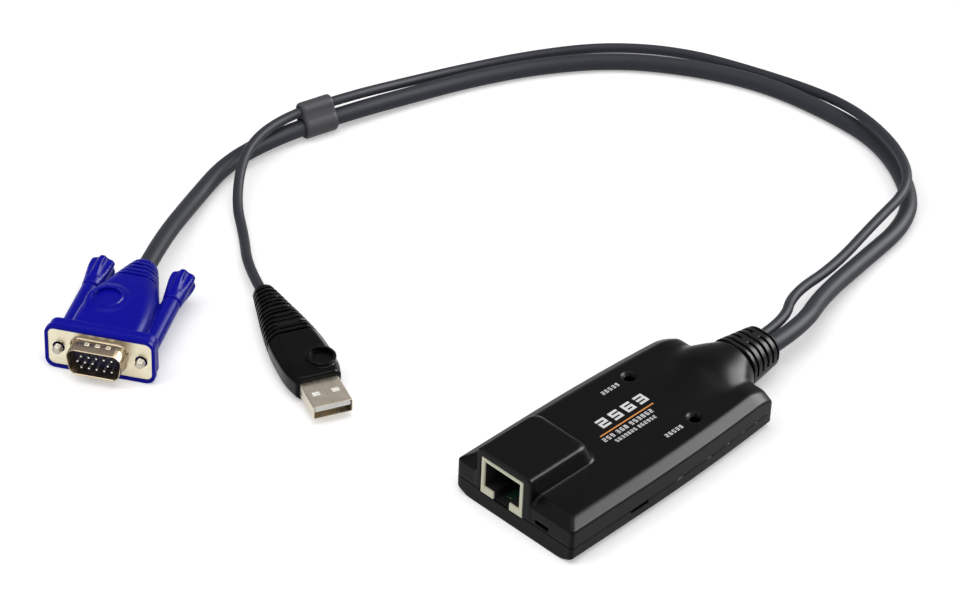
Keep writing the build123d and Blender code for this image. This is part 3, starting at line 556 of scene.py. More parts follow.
def upper_shell(x, y, z):
    outer = module_form(x, y, z)
    form = smooth_max(outer, -(outer + WALL), 0.2)
    form = smooth_max(form, SEAM_HIGH - z, 0.25)
    form = cut(form, jack_room(x, y, z))
    form = cut(form, neck_room(x, y, z))
    for lamp_x, lamp_y in LAMP_PLACES:
        spread = np.hypot(x - lamp_x, y - lamp_y)
        hole = np.maximum(spread - 1.5, 9.0 - z)
        cone = (spread - 1.5 - (z - TOP + 1.0) * 0.85) * 0.76
        form = cut(form, np.maximum(np.minimum(hole, cone), 9.0 - z), 0.3)
    window = np.maximum(np.maximum(slab(x, 8.2, 13.2), slab(z, 6.5, 7.9)), y + 41.0)
    return cut(form, window)


def lower_shell(x, y, z):
    outer = module_form(x, y, z)
    form = smooth_max(outer, -(outer + WALL), 0.2)
    form = smooth_max(form, z - SEAM_LOW, 0.25)
    lip = np.maximum(np.maximum(outer + 1.9, -(outer + 3.0)), np.maximum(z - 7.0, 3.0 - z))
    lip = np.maximum(lip, -cable_outlet(x, y, z) - WALL)
    form = np.minimum(form, lip)
    form = cut(form, jack_room(x, y, z))
    form = cut(form, neck_room(x, y, z))
    notch = np.maximum(np.maximum(-0.8 - past_side(x, y), 4.6 - z), slab(y, -18.9, -11.8))
    return cut(form, notch)


# Moulded forms of the cord end and the plugs
def boot_form(x, y, z):
    share = np.clip((y - BOOT_START) / (BOOT_END - BOOT_START), 0.0, 1.0)
    skin = rounded_rect(x, z - BOOT_MIDDLE, 8.3 - 1.6 * share, 7.1 - 1.5 * share, 6.1 - 1.1 * share)
    form = smooth_max(skin, BOOT_START - y, 0.4)
    form = smooth_max(form, y - BOOT_END, 1.6)
    for row in range(5):
        start = BOOT_START + 1.35 + row * 2.54
        ring = np.maximum(slab(y, start, start + 0.9), -(skin + 1.0))
        over = np.maximum(ring, 7.5 - z)
        if row % 2:
            over = np.maximum(over, 1.3 - np.abs(x))
        under = np.maximum(np.maximum(ring, z - 4.0), 3.2 - np.abs(x))
        form = cut(cut(form, over, 0.25), under, 0.25)
    for (cord_x, _, cord_z), radius in ((VGA_ROUTE[0], THICK_RADIUS), (USB_ROUTE[0], THIN_RADIUS)):
        hole = np.hypot(x - cord_x, z - cord_z) - radius - 0.25
        form = cut(form, np.maximum(hole, BOOT_END - 1.2 - y), 0.3)
    neck = np.maximum(rounded_rect(x, z - BOOT_MIDDLE, 5.6, 4.2, 3.4), slab(y, 45.1, 49.0))
    return np.minimum(form, neck)


VGA_RUN = (3.0, 14.5, 22.5, 30.0, 35.2, 39.2, 42.6)
VGA_HALF_WIDE = (11.3, 11.2, 10.4, 8.4, 6.6, 5.3, 4.0)
VGA_HALF_HIGH = (6.2, 6.6, 6.6, 6.1, 5.5, 4.8, 4.0)
VGA_CORNER = (3.2, 4.0, 4.8, 5.2, 5.0, 4.5, 3.9)


def vga_hood_form(x, y, z):
    high = ease(y, VGA_RUN, VGA_HALF_HIGH)
    skin = rounded_rect(x, z, ease(y, VGA_RUN, VGA_HALF_WIDE), high, ease(y, VGA_RUN, VGA_CORNER))
    form = smooth_max(skin * 0.96, y - VGA_RUN[-1], 0.9)
    form = np.maximum(form, VGA_RUN[0] - y)
    for i in range(5):
        start = 31.4 + 2.15 * i
        ring = np.maximum(slab(y, start, start + 0.7), -(skin + 0.65))
        form = cut(form, ring, 0.25)
    boss = np.hypot(x + 3.5, y - 18.0)
    collar = smooth_max(boss - 6.5, z - 7.0, 1.6)
    button = smooth_max(boss - 4.7, z - 7.55, 0.5)
    form = smooth_min(form, np.maximum(collar, 4.0 - z), 1.0)
    form = smooth_min(form, np.maximum(button, 4.0 - z), 0.3)
    form = cut(form, np.maximum(boss - 3.8, 6.55 - z + 0.06 * (x + 3.5)), 0.35)
    barrel = np.maximum(np.hypot(np.abs(x) - SCREW, z) - 2.8, slab(y, 3.0, 28.0))
    web = np.maximum(np.maximum(np.abs(z) - 1.7, np.abs(x) - SCREW), slab(y, 3.0, 22.0))
    form = smooth_min(form, smooth_min(barrel, web, 0.5), 0.6)
    front = smooth_max(rounded_rect(x, z, 16.7, 7.6, 3.0), slab(y, -0.3, 1.6), 0.35)
    groove = np.maximum(rounded_rect(x, z, 16.1, 7.0, 2.6), slab(y, 1.2, 2.4))
    back = smooth_max(rounded_rect(x, z, 16.35, 7.25, 2.9), slab(y, 2.0, 4.8), 0.7)
    flange = np.minimum(np.minimum(front, groove), back)
    form = smooth_min(form, flange, 0.4)
    form = cut(form, np.maximum(rounded_rect(x, z, 15.7, 6.45, 2.1), y - 0.9), 0.12)
    bore = np.hypot(np.abs(x) - SCREW, z) - 1.5
    return cut(form, bore, 0.2)


USB_RUN = (11.5, 16.0, 25.0, 33.0, 41.0, 49.0, 55.0, 59.0)
USB_HALF_WIDE = (6.9, 8.0, 8.4, 8.0, 7.0, 5.5, 4.3, 3.4)
USB_HALF_HIGH = (4.0, 4.45, 4.5, 4.5, 4.4, 4.1, 3.7, 3.3)
USB_CUT = (1.5, 2.0, 2.3, 2.6, 2.8, 2.6, 2.2, 1.9)


def usb_hood_form(x, y, z):
    wide = ease(y, USB_RUN, USB_HALF_WIDE)
    high = ease(y, USB_RUN, USB_HALF_HIGH)
    slope = ease(y, USB_RUN, USB_CUT)
    side, flat = np.abs(x) - wide, np.abs(z) - high
    soft = 0.5 + np.clip((y - 30.0) / 20.0, 0.0, 1.0) * 1.6
    skin = smooth_max(smooth_max(side, flat, 0.4), (side + flat + slope) * 0.7071, soft)
    form = smooth_max(skin * 0.96, y - USB_RUN[-1], 0.9)
    form = smooth_max(form, USB_RUN[0] - y, 0.7)
    for i in range(13):
        start = 32.6 + 1.95 * i
        ring = np.maximum(slab(y, start, start + 0.8), -(skin + 0.55))
        form = cut(form, ring, 0.3)
    spread = np.hypot(x - 3.2, y - 18.4)
    cup = np.maximum(smooth_max(spread - 4.5, z - 5.35, 0.5), 2.5 - z)
    form = smooth_min(form, cup, 0.35)
    form = cut(form, np.maximum(spread - 3.5, 4.1 - z), 0.4)
    mouth = np.maximum(rounded_rect(x, z, 6.05, 2.3, 0.6), y - 17.0)
    return cut(form, mouth, 0.12)


def sleeve_form(x, y, z):
    """The sleeve in its own frame: x from the thick cord to the thin one, z along the cords."""
    spread, thick_skin, thin_skin = 5.17, 3.9, 2.75
    thick = np.hypot(x, y) - thick_skin
    thin = np.hypot(x - spread, y) - thin_skin
    lean = (thick_skin - thin_skin) / spread
    along = np.clip(x, 0.0, spread)
    web = np.hypot(x - along, y) - (thick_skin - lean * along) + 0.12 * np.sin(np.pi * along / spread)
    skin = smooth_min(smooth_min(thick, thin, 0.6), web, 0.3)
    form = smooth_max(skin, np.abs(z) - 5.75, 1.1)
    form = cut(form, np.hypot(x, y) - 3.02, 0.25)
    return cut(form, np.hypot(x - spread, y) - 1.87, 0.25)


def knob_form(x, y, z):
    """A grip with six rounded lobes, flaring towards its free end."""
    radius = ease(y, (GRIP_START, 30.5, 34.6, 38.6, GRIP_END), (2.9, 3.1, 3.65, 4.1, 4.05))
    spread = np.hypot(x, z)
    form = smooth_max(spread - radius, slab(y, GRIP_START, GRIP_END), 1.2)
    angle = np.arctan2(z, x)
    sector = (angle + pi / 6) % (pi / 3) - pi / 6
    flute = np.hypot(spread * np.cos(sector) - 4.85, spread * np.sin(sector))
    flute = np.hypot(flute, np.maximum(32.4 - y, 0.0)) - 1.6
    return cut(form, flute, 0.5)


class AdapterColours(bpy.types.PropertyGroup):
    """Colours of the adapter's pieces."""

    housing: bpy.props.FloatVectorProperty(
        name="Housing", description="Moulding of the module", subtype="COLOR", size=3,
        default=(0.0028, 0.0028, 0.0032), min=0.0, max=1.0)
    cord: bpy.props.FloatVectorProperty(
        name="Cords", description="Sheath of both cords", subtype="COLOR", size=3,
        default=(0.034, 0.037, 0.046), min=0.0, max=1.0)
    screen_plug: bpy.props.FloatVectorProperty(
        name="Screen plug", description="Moulding of the screen plug", subtype="COLOR", size=3,
        default=(0.003, 0.0035, 0.33), min=0.0, max=1.0)
    stripe: bpy.props.FloatVectorProperty(
        name="Stripe", description="Thin printed stripe on the module", subtype="COLOR", size=3,
        default=(0.75, 0.27, 0.03), min=0.0, max=1.0)
    marks: bpy.props.FloatVectorProperty(
        name="Marks", description="Pale printed marks on the module", subtype="COLOR", size=3,
        default=(0.72, 0.72, 0.72), min=0.0, max=1.0)


class AdapterSizes(bpy.types.PropertyGroup):
    """Sizes of the adapter that a user may change."""

    vga_cord: bpy.props.FloatProperty(
        name="Screen cord", description="Diameter of the thick cord", default=0.0055,
        unit="LENGTH", min=0.001)
    usb_cord: bpy.props.FloatProperty(
        name="Computer cord", description="Diameter of the thin cord", default=0.0032,
        unit="LENGTH", min=0.001)
    print_height: bpy.props.FloatProperty(
        name="Print height", description="Thickness of the ink", default=0.00003,
        unit="LENGTH", min=0.000005)
    shell_cell: bpy.props.FloatProperty(
        name="Shell detail", description="Cell of the module's mesh", default=0.0004,
        unit="LENGTH", min=0.0002)
    plug_cell: bpy.props.FloatProperty(
        name="Plug detail", description="Cell of the plugs' meshes", default=0.00034,
        unit="LENGTH", min=0.0002)


class AdapterFinishes(bpy.types.Operator):
    """Make the finishes of every piece"""

    bl_idname = "adapter.finishes"
    bl_label = "Finishes"

    def execute(self, context):
        colours = context.scene.adapter_colours
        grain_group()
        metal_group()
        plastic("Housing black", colours.housing, 0.29, bump=0.1, grain=3600.0, variation=0.08,
                specular=0.085)
        plastic("Boot black", (0.005, 0.005, 0.0055), 0.36, bump=0.1, specular=0.12)
        plastic("Cord grey", colours.cord, 0.5, bump=0.1, grain=2400.0, cloud=40.0,
                variation=0.14, specular=0.1)
        plastic("Sleeve grey", (0.07, 0.071, 0.076), 0.46, bump=0.1, specular=0.12)
        plastic("Plug blue", colours.screen_plug, 0.3, bump=0.06, variation=0.08, specular=0.07)
        plastic("Knob blue", colours.screen_plug, 0.28, bump=0.05, variation=0.08, specular=0.07)
        plastic("Plug black", (0.0016, 0.0016, 0.0016), 0.24, bump=0.06, grain=2600.0, specular=0.1)
        plastic("Socket cream", (0.66, 0.66, 0.5), 0.4, bump=0.05)
        plastic("Insert white", (0.8, 0.8, 0.76), 0.4, bump=0.05)
        plastic("Carrier navy", (0.004, 0.006, 0.06), 0.35, bump=0.05)
        plastic("Board green", (0.01, 0.1, 0.05), 0.4, bump=0.1, cloud=300.0)
        # The board's green at half brightness: painted shade on the board seen inside the socket
        plastic("Board green in painted shade", (0.004, 0.045, 0.02), 0.4, bump=0.1, cloud=300.0)
        plastic("Chip black", (0.015, 0.015, 0.016), 0.5, bump=0.2)
        plastic("Lamp clear", (0.1, 0.1, 0.095), 0.15, bump=0.0)
        plastic("Header white", (0.7, 0.68, 0.6), 0.45)
        plastic("Core sheath", (0.35, 0.3, 0.26), 0.5)
        plastic("Stripe ink", colours.stripe, 0.45, bump=0.05, variation=0.2)
        plastic("Mark ink", colours.marks, 0.45, bump=0.05, variation=0.2)
        # Near-black, for painted shade inside the socket's opening
        plastic("Painted recess shade", (0.004, 0.004, 0.004), 0.6)
        metal("Plate nickel", (0.78, 0.72, 0.55), (0.5, 0.42, 0.27), 0.24, 0.25)
        metal("Drawn nickel", (0.44, 0.36, 0.25), (0.24, 0.18, 0.1), 0.2, 0.35)
        metal("Dent nickel", (0.8, 0.72, 0.56), (0.6, 0.5, 0.35), 0.4, 0.3)
        metal("Bright steel", (0.62, 0.56, 0.46), (0.42, 0.35, 0.26), 0.2, 0.3)
        metal("Screw steel", (0.5, 0.47, 0.4), (0.25, 0.22, 0.17), 0.22, 0.4)
        metal("Contact gold", (0.75, 0.55, 0.25), (0.5, 0.35, 0.15), 0.22, 0.3)
        metal("Pin silver", (0.8, 0.8, 0.78), (0.5, 0.5, 0.45), 0.2, 0.2)
        metal("Can metal", (0.7, 0.7, 0.7), (0.5, 0.5, 0.5), 0.3, 0.2)
        return {"FINISHED"}


class AdapterShells(bpy.types.Operator):
    """Build the module's upper and lower shell"""

    bl_idname = "adapter.shells"
    bl_label = "Module shells"

    def execute(self, context):
        cell = context.scene.adapter_sizes.shell_cell / MM
        low, high = (-23.0, -44.03, -0.63), (23.0, 49.2, 21.4)
        black = finish("Housing black")
        moulded("shell_top", upper_shell, (low[0], low[1], 5.0), high, cell, black,
                "dongle", ("upper_shell",))
        moulded("shell_base", lower_shell, low, (high[0], high[1], 8.0), cell, black,
                "dongle", ("lower_shell",))
        return {"FINISHED"}


class AdapterMarks(bpy.types.Operator):
    """Print the stripe and the plain marks on the module"""

    bl_idname = "adapter.marks"
    bl_label = "Printed marks"

    segments = {"2": "abged", "3": "abgcd", "5": "afgcd", "6": "afgecd", "8": "abcdefg", "9": "abcdfg"}

    def number(self, digits, foot, start, high, wide, stroke):
        """A number that reads along Y, with its foot at the given X."""
        bars = []
        half = (high - 3 * stroke) / 2
        levels = {"d": 0.0, "g": half + stroke, "a": 2 * (half + stroke)}
        left = start
        for digit in digits:
            if digit == " ":
                left += 0.7 * wide
                continue
            for part in self.segments[digit]:
                if part in levels:
                    low, tall, u0, u1 = levels[part], stroke, left, left + wide
                else:
                    low, tall = (stroke if part in "ce" else half + 2 * stroke), half
                    u0 = left if part in "ef" else left + wide - stroke
                    u1 = u0 + stroke
                bars.append(rect(foot - low - tall, foot - low, u0, u1))
            left += wide + 2.0 * stroke
        return bars

    def patch(self, name, quads, material, height):
        points, faces = [], []
        for quad in quads:
            base = len(points)
            for z in (TOP - 0.02, TOP + height):
                points += [(x, y, z) for x, y in quad]
            n = len(quad)
            faces.append(tuple(base + n + i for i in range(n)))
            faces += [(base + i, base + (i + 1) % n, base + n + (i + 1) % n, base + n + i) for i in range(n)]
        return finish_object(name, outward(mesh_of(name, points, faces)), material, "dongle", smooth=False)

    def execute(self, context):
        height = context.scene.adapter_sizes.print_height / MM
        self.patch("print_stripe", [rect(0.1, 0.55, -8.8, 13.2)], finish("Stripe ink"), height)
        # Plain numbers in place of the bold mark, the two lines of print and the lamps' legends
        marks = self.number("2563", -1.5, -5.4, 3.7, 3.5, 0.85)
        marks += self.number("259 368 953862", 3.0, -9.4, 1.6, 1.0, 0.3)
        marks += self.number("5639825 862952", 5.3, -6.9, 1.25, 0.8, 0.22)
        for x, y in ((-11.7, 5.6), (13.5, 4.9)):
            marks += self.number("26539", x, y, 1.45, 0.9, 0.27)
        self.patch("print_marks", marks, finish("Mark ink"), height)
        return {"FINISHED"}


class AdapterSocket(bpy.types.Operator):
    """Build the network socket and its contacts"""

    bl_idname = "adapter.socket"
    bl_label = "Network socket"

    def arch(self, x, z, reach, inset):
        """The frame round the plug's opening, which is open below between two corner tabs."""
        side, tab, low, top = 6.7 - inset, 3.0 - inset, z + 2.5 + inset, z + 11.3 - inset
        inner = [(-tab, z), (-tab, low), (-side, low), (-side, top),
                 (side, top), (side, low), (tab, low), (tab, z)]
        outer = [(reach, z), (reach, z + 12.7), (-reach, z + 12.7), (-reach, z)]
        return [(x + across, height) for across, height in inner + outer]

    def execute(self, context):
        cream = finish("Socket cream")
        x, z = JACK_MIDDLE, JACK_FLOOR
        face = plate_mesh("face", self.arch(x, z, 8.0, 0.0), [], -42.9, -29.9, 0.14)
        back = plate_mesh("back", rect(x - 8.0, x + 8.0, z, z + 12.7), [], -29.9, -24.9, 0.1)
        finish_object("socket_body", joined([face, back], "socket_body"), cream, "dongle", ("rj45_jack",))
        # A near-black sheet over the socket's inner walls, back and floor: painted shade inside the opening
        shade_sheet = plate_mesh("shade_sheet", self.arch(x, z + 0.05, 7.6, 0.15), [], -42.4, -30.2, 0.0)
        rear = plate_mesh("rear", rect(x - 6.6, x + 6.6, z + 0.1, z + 11.2), [], -30.3, -29.95, 0.0)
        sill = plate_mesh("sill", rect(x - 2.9, x + 2.9, z + 0.05, z + 0.2), [], -42.4, -30.2, 0.0)
        finish_object("socket_painted_shade", joined([shade_sheet, rear, sill], "socket_painted_shade"),
                      finish("Painted recess shade"), "dongle")
        # The board seen through the socket's floor, in the darker copy of its green: painted shade
        board = plate_mesh("socket_board", rect(x - 1.6, x + 2.4, z + 0.22, z + 0.34), [], -39.6, -35.4, 0.03)
        finish_object("socket_board", board, finish("Board green in painted shade"), "dongle")
        combs = []
        for i in range(3):
            strip = rect(x - 1.2 + 1.1 * i, x - 0.8 + 1.1 * i, z + 0.33, z + 0.4)
            combs.append(plate_mesh("comb", strip, [], -39.2, -37.6, 0.02))
        finish_object("socket_comb", joined(combs, "socket_comb"), finish("Pin silver"), "dongle")
        wires = []
        for i in range(8):
            wire_x = x + (i - 3.5) * 1.02
            profile = [(-40.7, 15.38), (-40.5, 15.0), (-32.9, 12.4), (-32.7, 12.9), (-39.7, 15.38)]
            rings = [[(wire_x + dx, y, h) for y, h in profile] for dx in (-0.22, 0.22)]
            wires.append(loft_mesh("wire", rings))
        finish_object("socket_wires", joined(wires, "socket_wires"), finish("Contact gold"),
                      "dongle", ("jack_contacts",))
        return {"FINISHED"}


class AdapterBoot(bpy.types.Operator):
    """Build the grooved strain relief"""

    bl_idname = "adapter.boot"
    bl_label = "Strain relief"

    def execute(self, context):
        cell = 0.27
        moulded("boot", boot_form, (-9.1, 44.3, 0.3), (9.1, 62.8, 16.3), cell, finish("Boot black"),
                "dongle", ("strain_relief_boot",))
        return {"FINISHED"}


class AdapterCords(bpy.types.Operator):
    """Lay both cords and the sleeve that holds them"""

    bl_idname = "adapter.cords"
    bl_label = "Cords"

    def cord(self, name, route, diameter, node):
        curve = bpy.data.curves.new(name, "CURVE")
        curve.dimensions = "3D"
        curve.bevel_depth = diameter / 2
        curve.bevel_resolution = 7
        curve.resolution_u = 14
        curve.use_fill_caps = True
        spline = curve.splines.new("NURBS")
        spline.points.add(len(route) - 1)
        for point, place in zip(spline.points, route):
            point.co = (*(Vector(place) * MM), 1.0)
        spline.order_u = 3
        spline.use_endpoint_u = True
        curve.materials.append(finish("Cord grey"))
        piece = bpy.data.objects.new(name, curve)
        bpy.context.scene.collection.objects.link(piece)
        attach(piece, "dongle")
        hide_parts(node)
        return piece

    def execute(self, context):
        sizes = context.scene.adapter_sizes
        self.cord("screen_cord", VGA_ROUTE, sizes.vga_cord, "vga_cable")
        self.cord("computer_cord", USB_ROUTE, sizes.usb_cord, "usb_cable")
        axis = Vector(SLEEVE_AXIS).normalized()
        offset = Vector(SLEEVE_OFFSET)
        offset = (offset - axis * offset.dot(axis)).normalized()
        turn = Matrix((offset, axis.cross(offset), axis)).transposed().to_4x4()
        matrix = Matrix.Translation(Vector(SLEEVE_MIDDLE) * MM) @ turn
        moulded("sleeve", sleeve_form, (-4.6, -4.6, -6.3), (8.8, 4.6, 6.4), 0.3,
                finish("Sleeve grey"), "dongle", ("cable_sleeve",), matrix)
        return {"FINISHED"}


class AdapterScreenPlug(bpy.types.Operator):
    """Build the screen plug: hood, plate, shell, carrier and pins"""

    bl_idname = "adapter.screen_plug"
    bl_label = "Screen plug"

    def drawn(self):
        """The drawn D-shaped shell with its rolled rim and flared foot."""
        profile = [
            (-0.45, 0.9), (-0.45, -5.5), (-0.28, -5.75), (-0.1, -5.8), (0.0, -5.65), (0.0, -1.1),
            (0.12, -0.55), (0.42, -0.18), (0.85, 0.0),
        ]
        rings = []
        for grow, y in profile:
            outline = d_outline(SHELL_WIDE + 2 * grow, SHELL_HIGH + 2 * grow, SHELL_CORNER + grow, 8)
            rings.append([(x, y, z) for x, z in outline])
        points = [p for ring in rings for p in ring]
        return outward(mesh_of("drawn", points, ring_faces(len(rings), len(rings[0]))))

    def plate(self):
        holes = [d_outline(19.4, 10.8, 3.65, 8)]
        for side in (-1, 1):
            turns = [2 * pi * i / 28 for i in range(28)]
            holes.append([(side * SCREW + 1.9 * cos(turn), 1.9 * sin(turn)) for turn in turns])
        outline = box_outline(PLATE_WIDE, PLATE_HIGH, PLATE_CORNER)
        return plate_mesh("plate", outline, holes, 0.0, PLATE_THICK, 0.0)

    def execute(self, context):
        cell = context.scene.adapter_sizes.plug_cell / MM
        place = plug_matrix(VGA_PLACE, VGA_HEADING)
        moulded("plug_hood", vga_hood_form, (-17.4, -1.0, -8.3), (17.4, 43.6, 8.6), cell, finish("Plug blue"),
                "dongle", ("vga_hood",), place)
        finish_object("plug_plate", self.plate(), finish("Plate nickel"), "dongle", ("vga_shell",), place)
        finish_object("plug_shell", self.drawn(), finish("Drawn nickel"), "dongle", (), place)
        dents = []
        for x in (-3.1, 0.1, 3.3):
            ring = box_outline(1.5, 1.5, 0.4, 4)
            rings = []
            for grow, rise in ((1.0, 0.0), (0.85, 0.07), (0.65, 0.03), (0.0, 0.03)):
                rings.append([(x + a * grow, -2.1 + b * grow, 4.55 + rise) for a, b in ring])
            dents.append(loft_mesh("dent", rings, (False, False)))
        finish_object("plug_dents", joined(dents, "plug_dents"), finish("Dent nickel"), "dongle", (), place)
        rings = []
        for y, grow in ((4.0, 0.0), (-0.75, 0.0), (-0.9, -0.15)):
            rings.append([(x, y, z) for x, z in d_outline(16.7 + 2 * grow, 8.1 + 2 * grow, 2.3 + grow)])
        finish_object("plug_carrier", loft_mesh("plug_carrier", rings), finish("Carrier navy"), "dongle",
                      ("vga_insulator",), place)
        pins = []
        for row, shift in ((1, 0.25), (0, -0.25), (-1, 0.25)):
            for i in range(5):
                if row == 0 and i == 3:
                    continue
                middle = ((i - 2 + shift) * PIN_PITCH, row * PIN_ROW)
                profile = [(0.12, -5.0), (0.28, -4.93), (0.38, -4.6), (0.38, 6.5)]
                pins.append(turned("pin", profile, 14, middle))
        finish_object("plug_pins", joined(pins, "plug_pins"), finish("Pin silver"),
                      "dongle", ("vga_pins",), place)
        return {"FINISHED"}


class AdapterThumbscrews(bpy.types.Operator):
    """Build both thumbscrews"""

    bl_idname = "adapter.thumbscrews"
    bl_label = "Thumbscrews"

    def thread(self, middle):
        """The screw: a threaded tip, a thin shank and the shaft held in the grip."""
        steps = 24
        rings = []
        y = THREAD_TIP
        while y <= 0.0:
            ring = []
            for i in range(steps):
                angle = 2 * pi * i / steps
                wave = (y / THREAD_PITCH + i / steps) % 1.0
                radius = THREAD_RADIUS - 0.3 * abs(2 * wave - 1.0)
                if y < -1.95:
                    radius = min(radius, 1.0 + (y - THREAD_TIP))
                ring.append((middle + radius * cos(angle), y, radius * sin(angle)))
            rings.append(ring)
            y += THREAD_PITCH / 6
        for radius, y in ((1.1, 0.3), (1.1, 6.0), (1.2, 6.2), (1.2, 37.0)):
            ring = []
            for i in range(steps):
                angle = 2 * pi * i / steps
                ring.append((middle + radius * cos(angle), y, radius * sin(angle)))
            rings.append(ring)
        return loft_mesh("screw", rings)

    def execute(self, context):
        cell = 0.24
        place = plug_matrix(VGA_PLACE, VGA_HEADING)
        for side, x in (("left", -SCREW), ("right", SCREW)):
            body = side + "_thumbscrew"
            aside = place @ Matrix.Translation((x * MM, 0, 0))
            moulded(side + "_grip", knob_form, (-4.7, 27.9, -4.7), (4.7, 41.9, 4.8), cell,
                    finish("Knob blue"), body, (side + "_thumbscrew_knob",), aside)
            finish_object(side + "_screw", self.thread(x), finish("Screw steel"), body,
                          (side + "_thumbscrew_shaft",), place)
        return {"FINISHED"}


class AdapterComputerPlug(bpy.types.Operator):
    """Build the flat plug: hood, steel shell, insert and contacts"""

    bl_idname = "adapter.computer_plug"
    bl_label = "Computer plug"

    def fold(self, x, z, start):
        """The five points of a rounded fold, a quarter turn from the given angle."""
        turns = [start + i * pi / 12 for i in range(1, 6)]
        return [(x + 0.6 * cos(turn), z + 0.6 * sin(turn)) for turn in turns]

    def shell(self):
        """Folded sheet with two windows in its top and two in its bottom, and a seam on top."""
        runs = [0.0, 0.15, 2.0, 4.7, 6.7, 11.0, 17.9]
        top = [5.4, 4.2, 1.8, 0.06]
        outline = [(x, 2.25) for x in top] + [(-x, 2.25) for x in reversed(top)]
        outline += self.fold(-5.4, 1.65, pi / 2) + [(-6.0, 1.65), (-6.0, -1.65)]
        outline += self.fold(-5.4, -1.65, pi) + [(x, -2.25) for x in (-5.4, -4.2, -1.8, 1.8, 4.2, 5.4)]
        outline += self.fold(5.4, -1.65, -pi / 2) + [(6.0, -1.65), (6.0, 1.65)]
        outline += self.fold(5.4, 1.65, 0.0)
        each = len(outline)
        points = [(x, y, z) for y in runs for x, z in outline]
        faces = []
        for r in range(len(runs) - 1):
            for i in range(each):
                j = (i + 1) % each
                (x0, z0), (x1, z1) = outline[i], outline[j]
                flat = abs(z0) == 2.25 and abs(z1) == 2.25
                middle = (abs(x0) + abs(x1)) / 2
                window = flat and runs[r] == 4.7 and 1.7 < middle < 4.3 and abs(x1 - x0) > 2
                seam = z0 == 2.25 and z1 == 2.25 and max(abs(x0), abs(x1)) < 0.1
                if window or seam:
                    continue
                faces.append((r * each + i, r * each + j, (r + 1) * each + j, (r + 1) * each + i))
        mesh = mesh_of("steel", points, faces)
        form = bmesh.new()
        form.from_mesh(mesh)
        bmesh.ops.recalc_face_normals(form, faces=form.faces)
        if sum(f.normal.z * (f.calc_center_median().z) for f in form.faces) < 0:
            bmesh.ops.reverse_faces(form, faces=form.faces)
        bmesh.ops.solidify(form, geom=form.faces[:], thickness=0.3 * MM)
        bmesh.ops.recalc_face_normals(form, faces=form.faces)
        form.to_mesh(mesh)
        form.free()
        return mesh

    def execute(self, context):
        cell = context.scene.adapter_sizes.plug_cell / MM
        place = plug_matrix(USB_PLACE, USB_HEADING)
        moulded("flat_plug_hood", usb_hood_form, (-9.2, 10.9, -5.2), (9.2, 60.0, 6.2), cell,
                finish("Plug black"), "dongle", ("usb_hood",), place)
        finish_object("flat_plug_shell", self.shell(), finish("Bright steel"),
                      "dongle", ("usb_shell",), place)
        insert = plate_mesh("flat_plug_insert", rect(-5.4, 5.4, 0.11, 1.95), [], 0.15, 17.6, 0.12)
        finish_object("flat_plug_insert", insert, finish("Insert white"), "dongle", ("usb_tongue",), place)
        strips = []
        for x, start in ((-3.5, 1.2), (-1.0, 2.2), (1.0, 2.2), (3.5, 1.2)):
            strips.append(plate_mesh("strip", rect(x - 0.5, x + 0.5, -0.14, 0.11), [], start, 11.0, 0.06))
        finish_object("flat_plug_contacts", joined(strips, "flat_plug_contacts"),
                      finish("Contact gold"), "dongle", ("usb_contacts",), place)
        return {"FINISHED"}


class AdapterInside(bpy.types.Operator):
    """Give the pieces inside the module their finishes"""

    bl_idname = "adapter.inside"
    bl_label = "Inner pieces"

    finishes = {
        "circuit_board": "Board green", "online_led": "Lamp clear", "power_led": "Lamp clear",
        "led_spacers": "Chip black", "controller_chip": "Chip black", "video_driver_chip": "Chip black",
        "crystal_can": "Can metal", "capacitors": "Can metal", "cable_header": "Header white",
        "cable_cores": "Core sheath",
    }

    def execute(self, context):
        for node, name in self.finishes.items():
            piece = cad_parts[node]
            for slot in piece.material_slots:
                slot.material = finish(name)
        return {"FINISHED"}


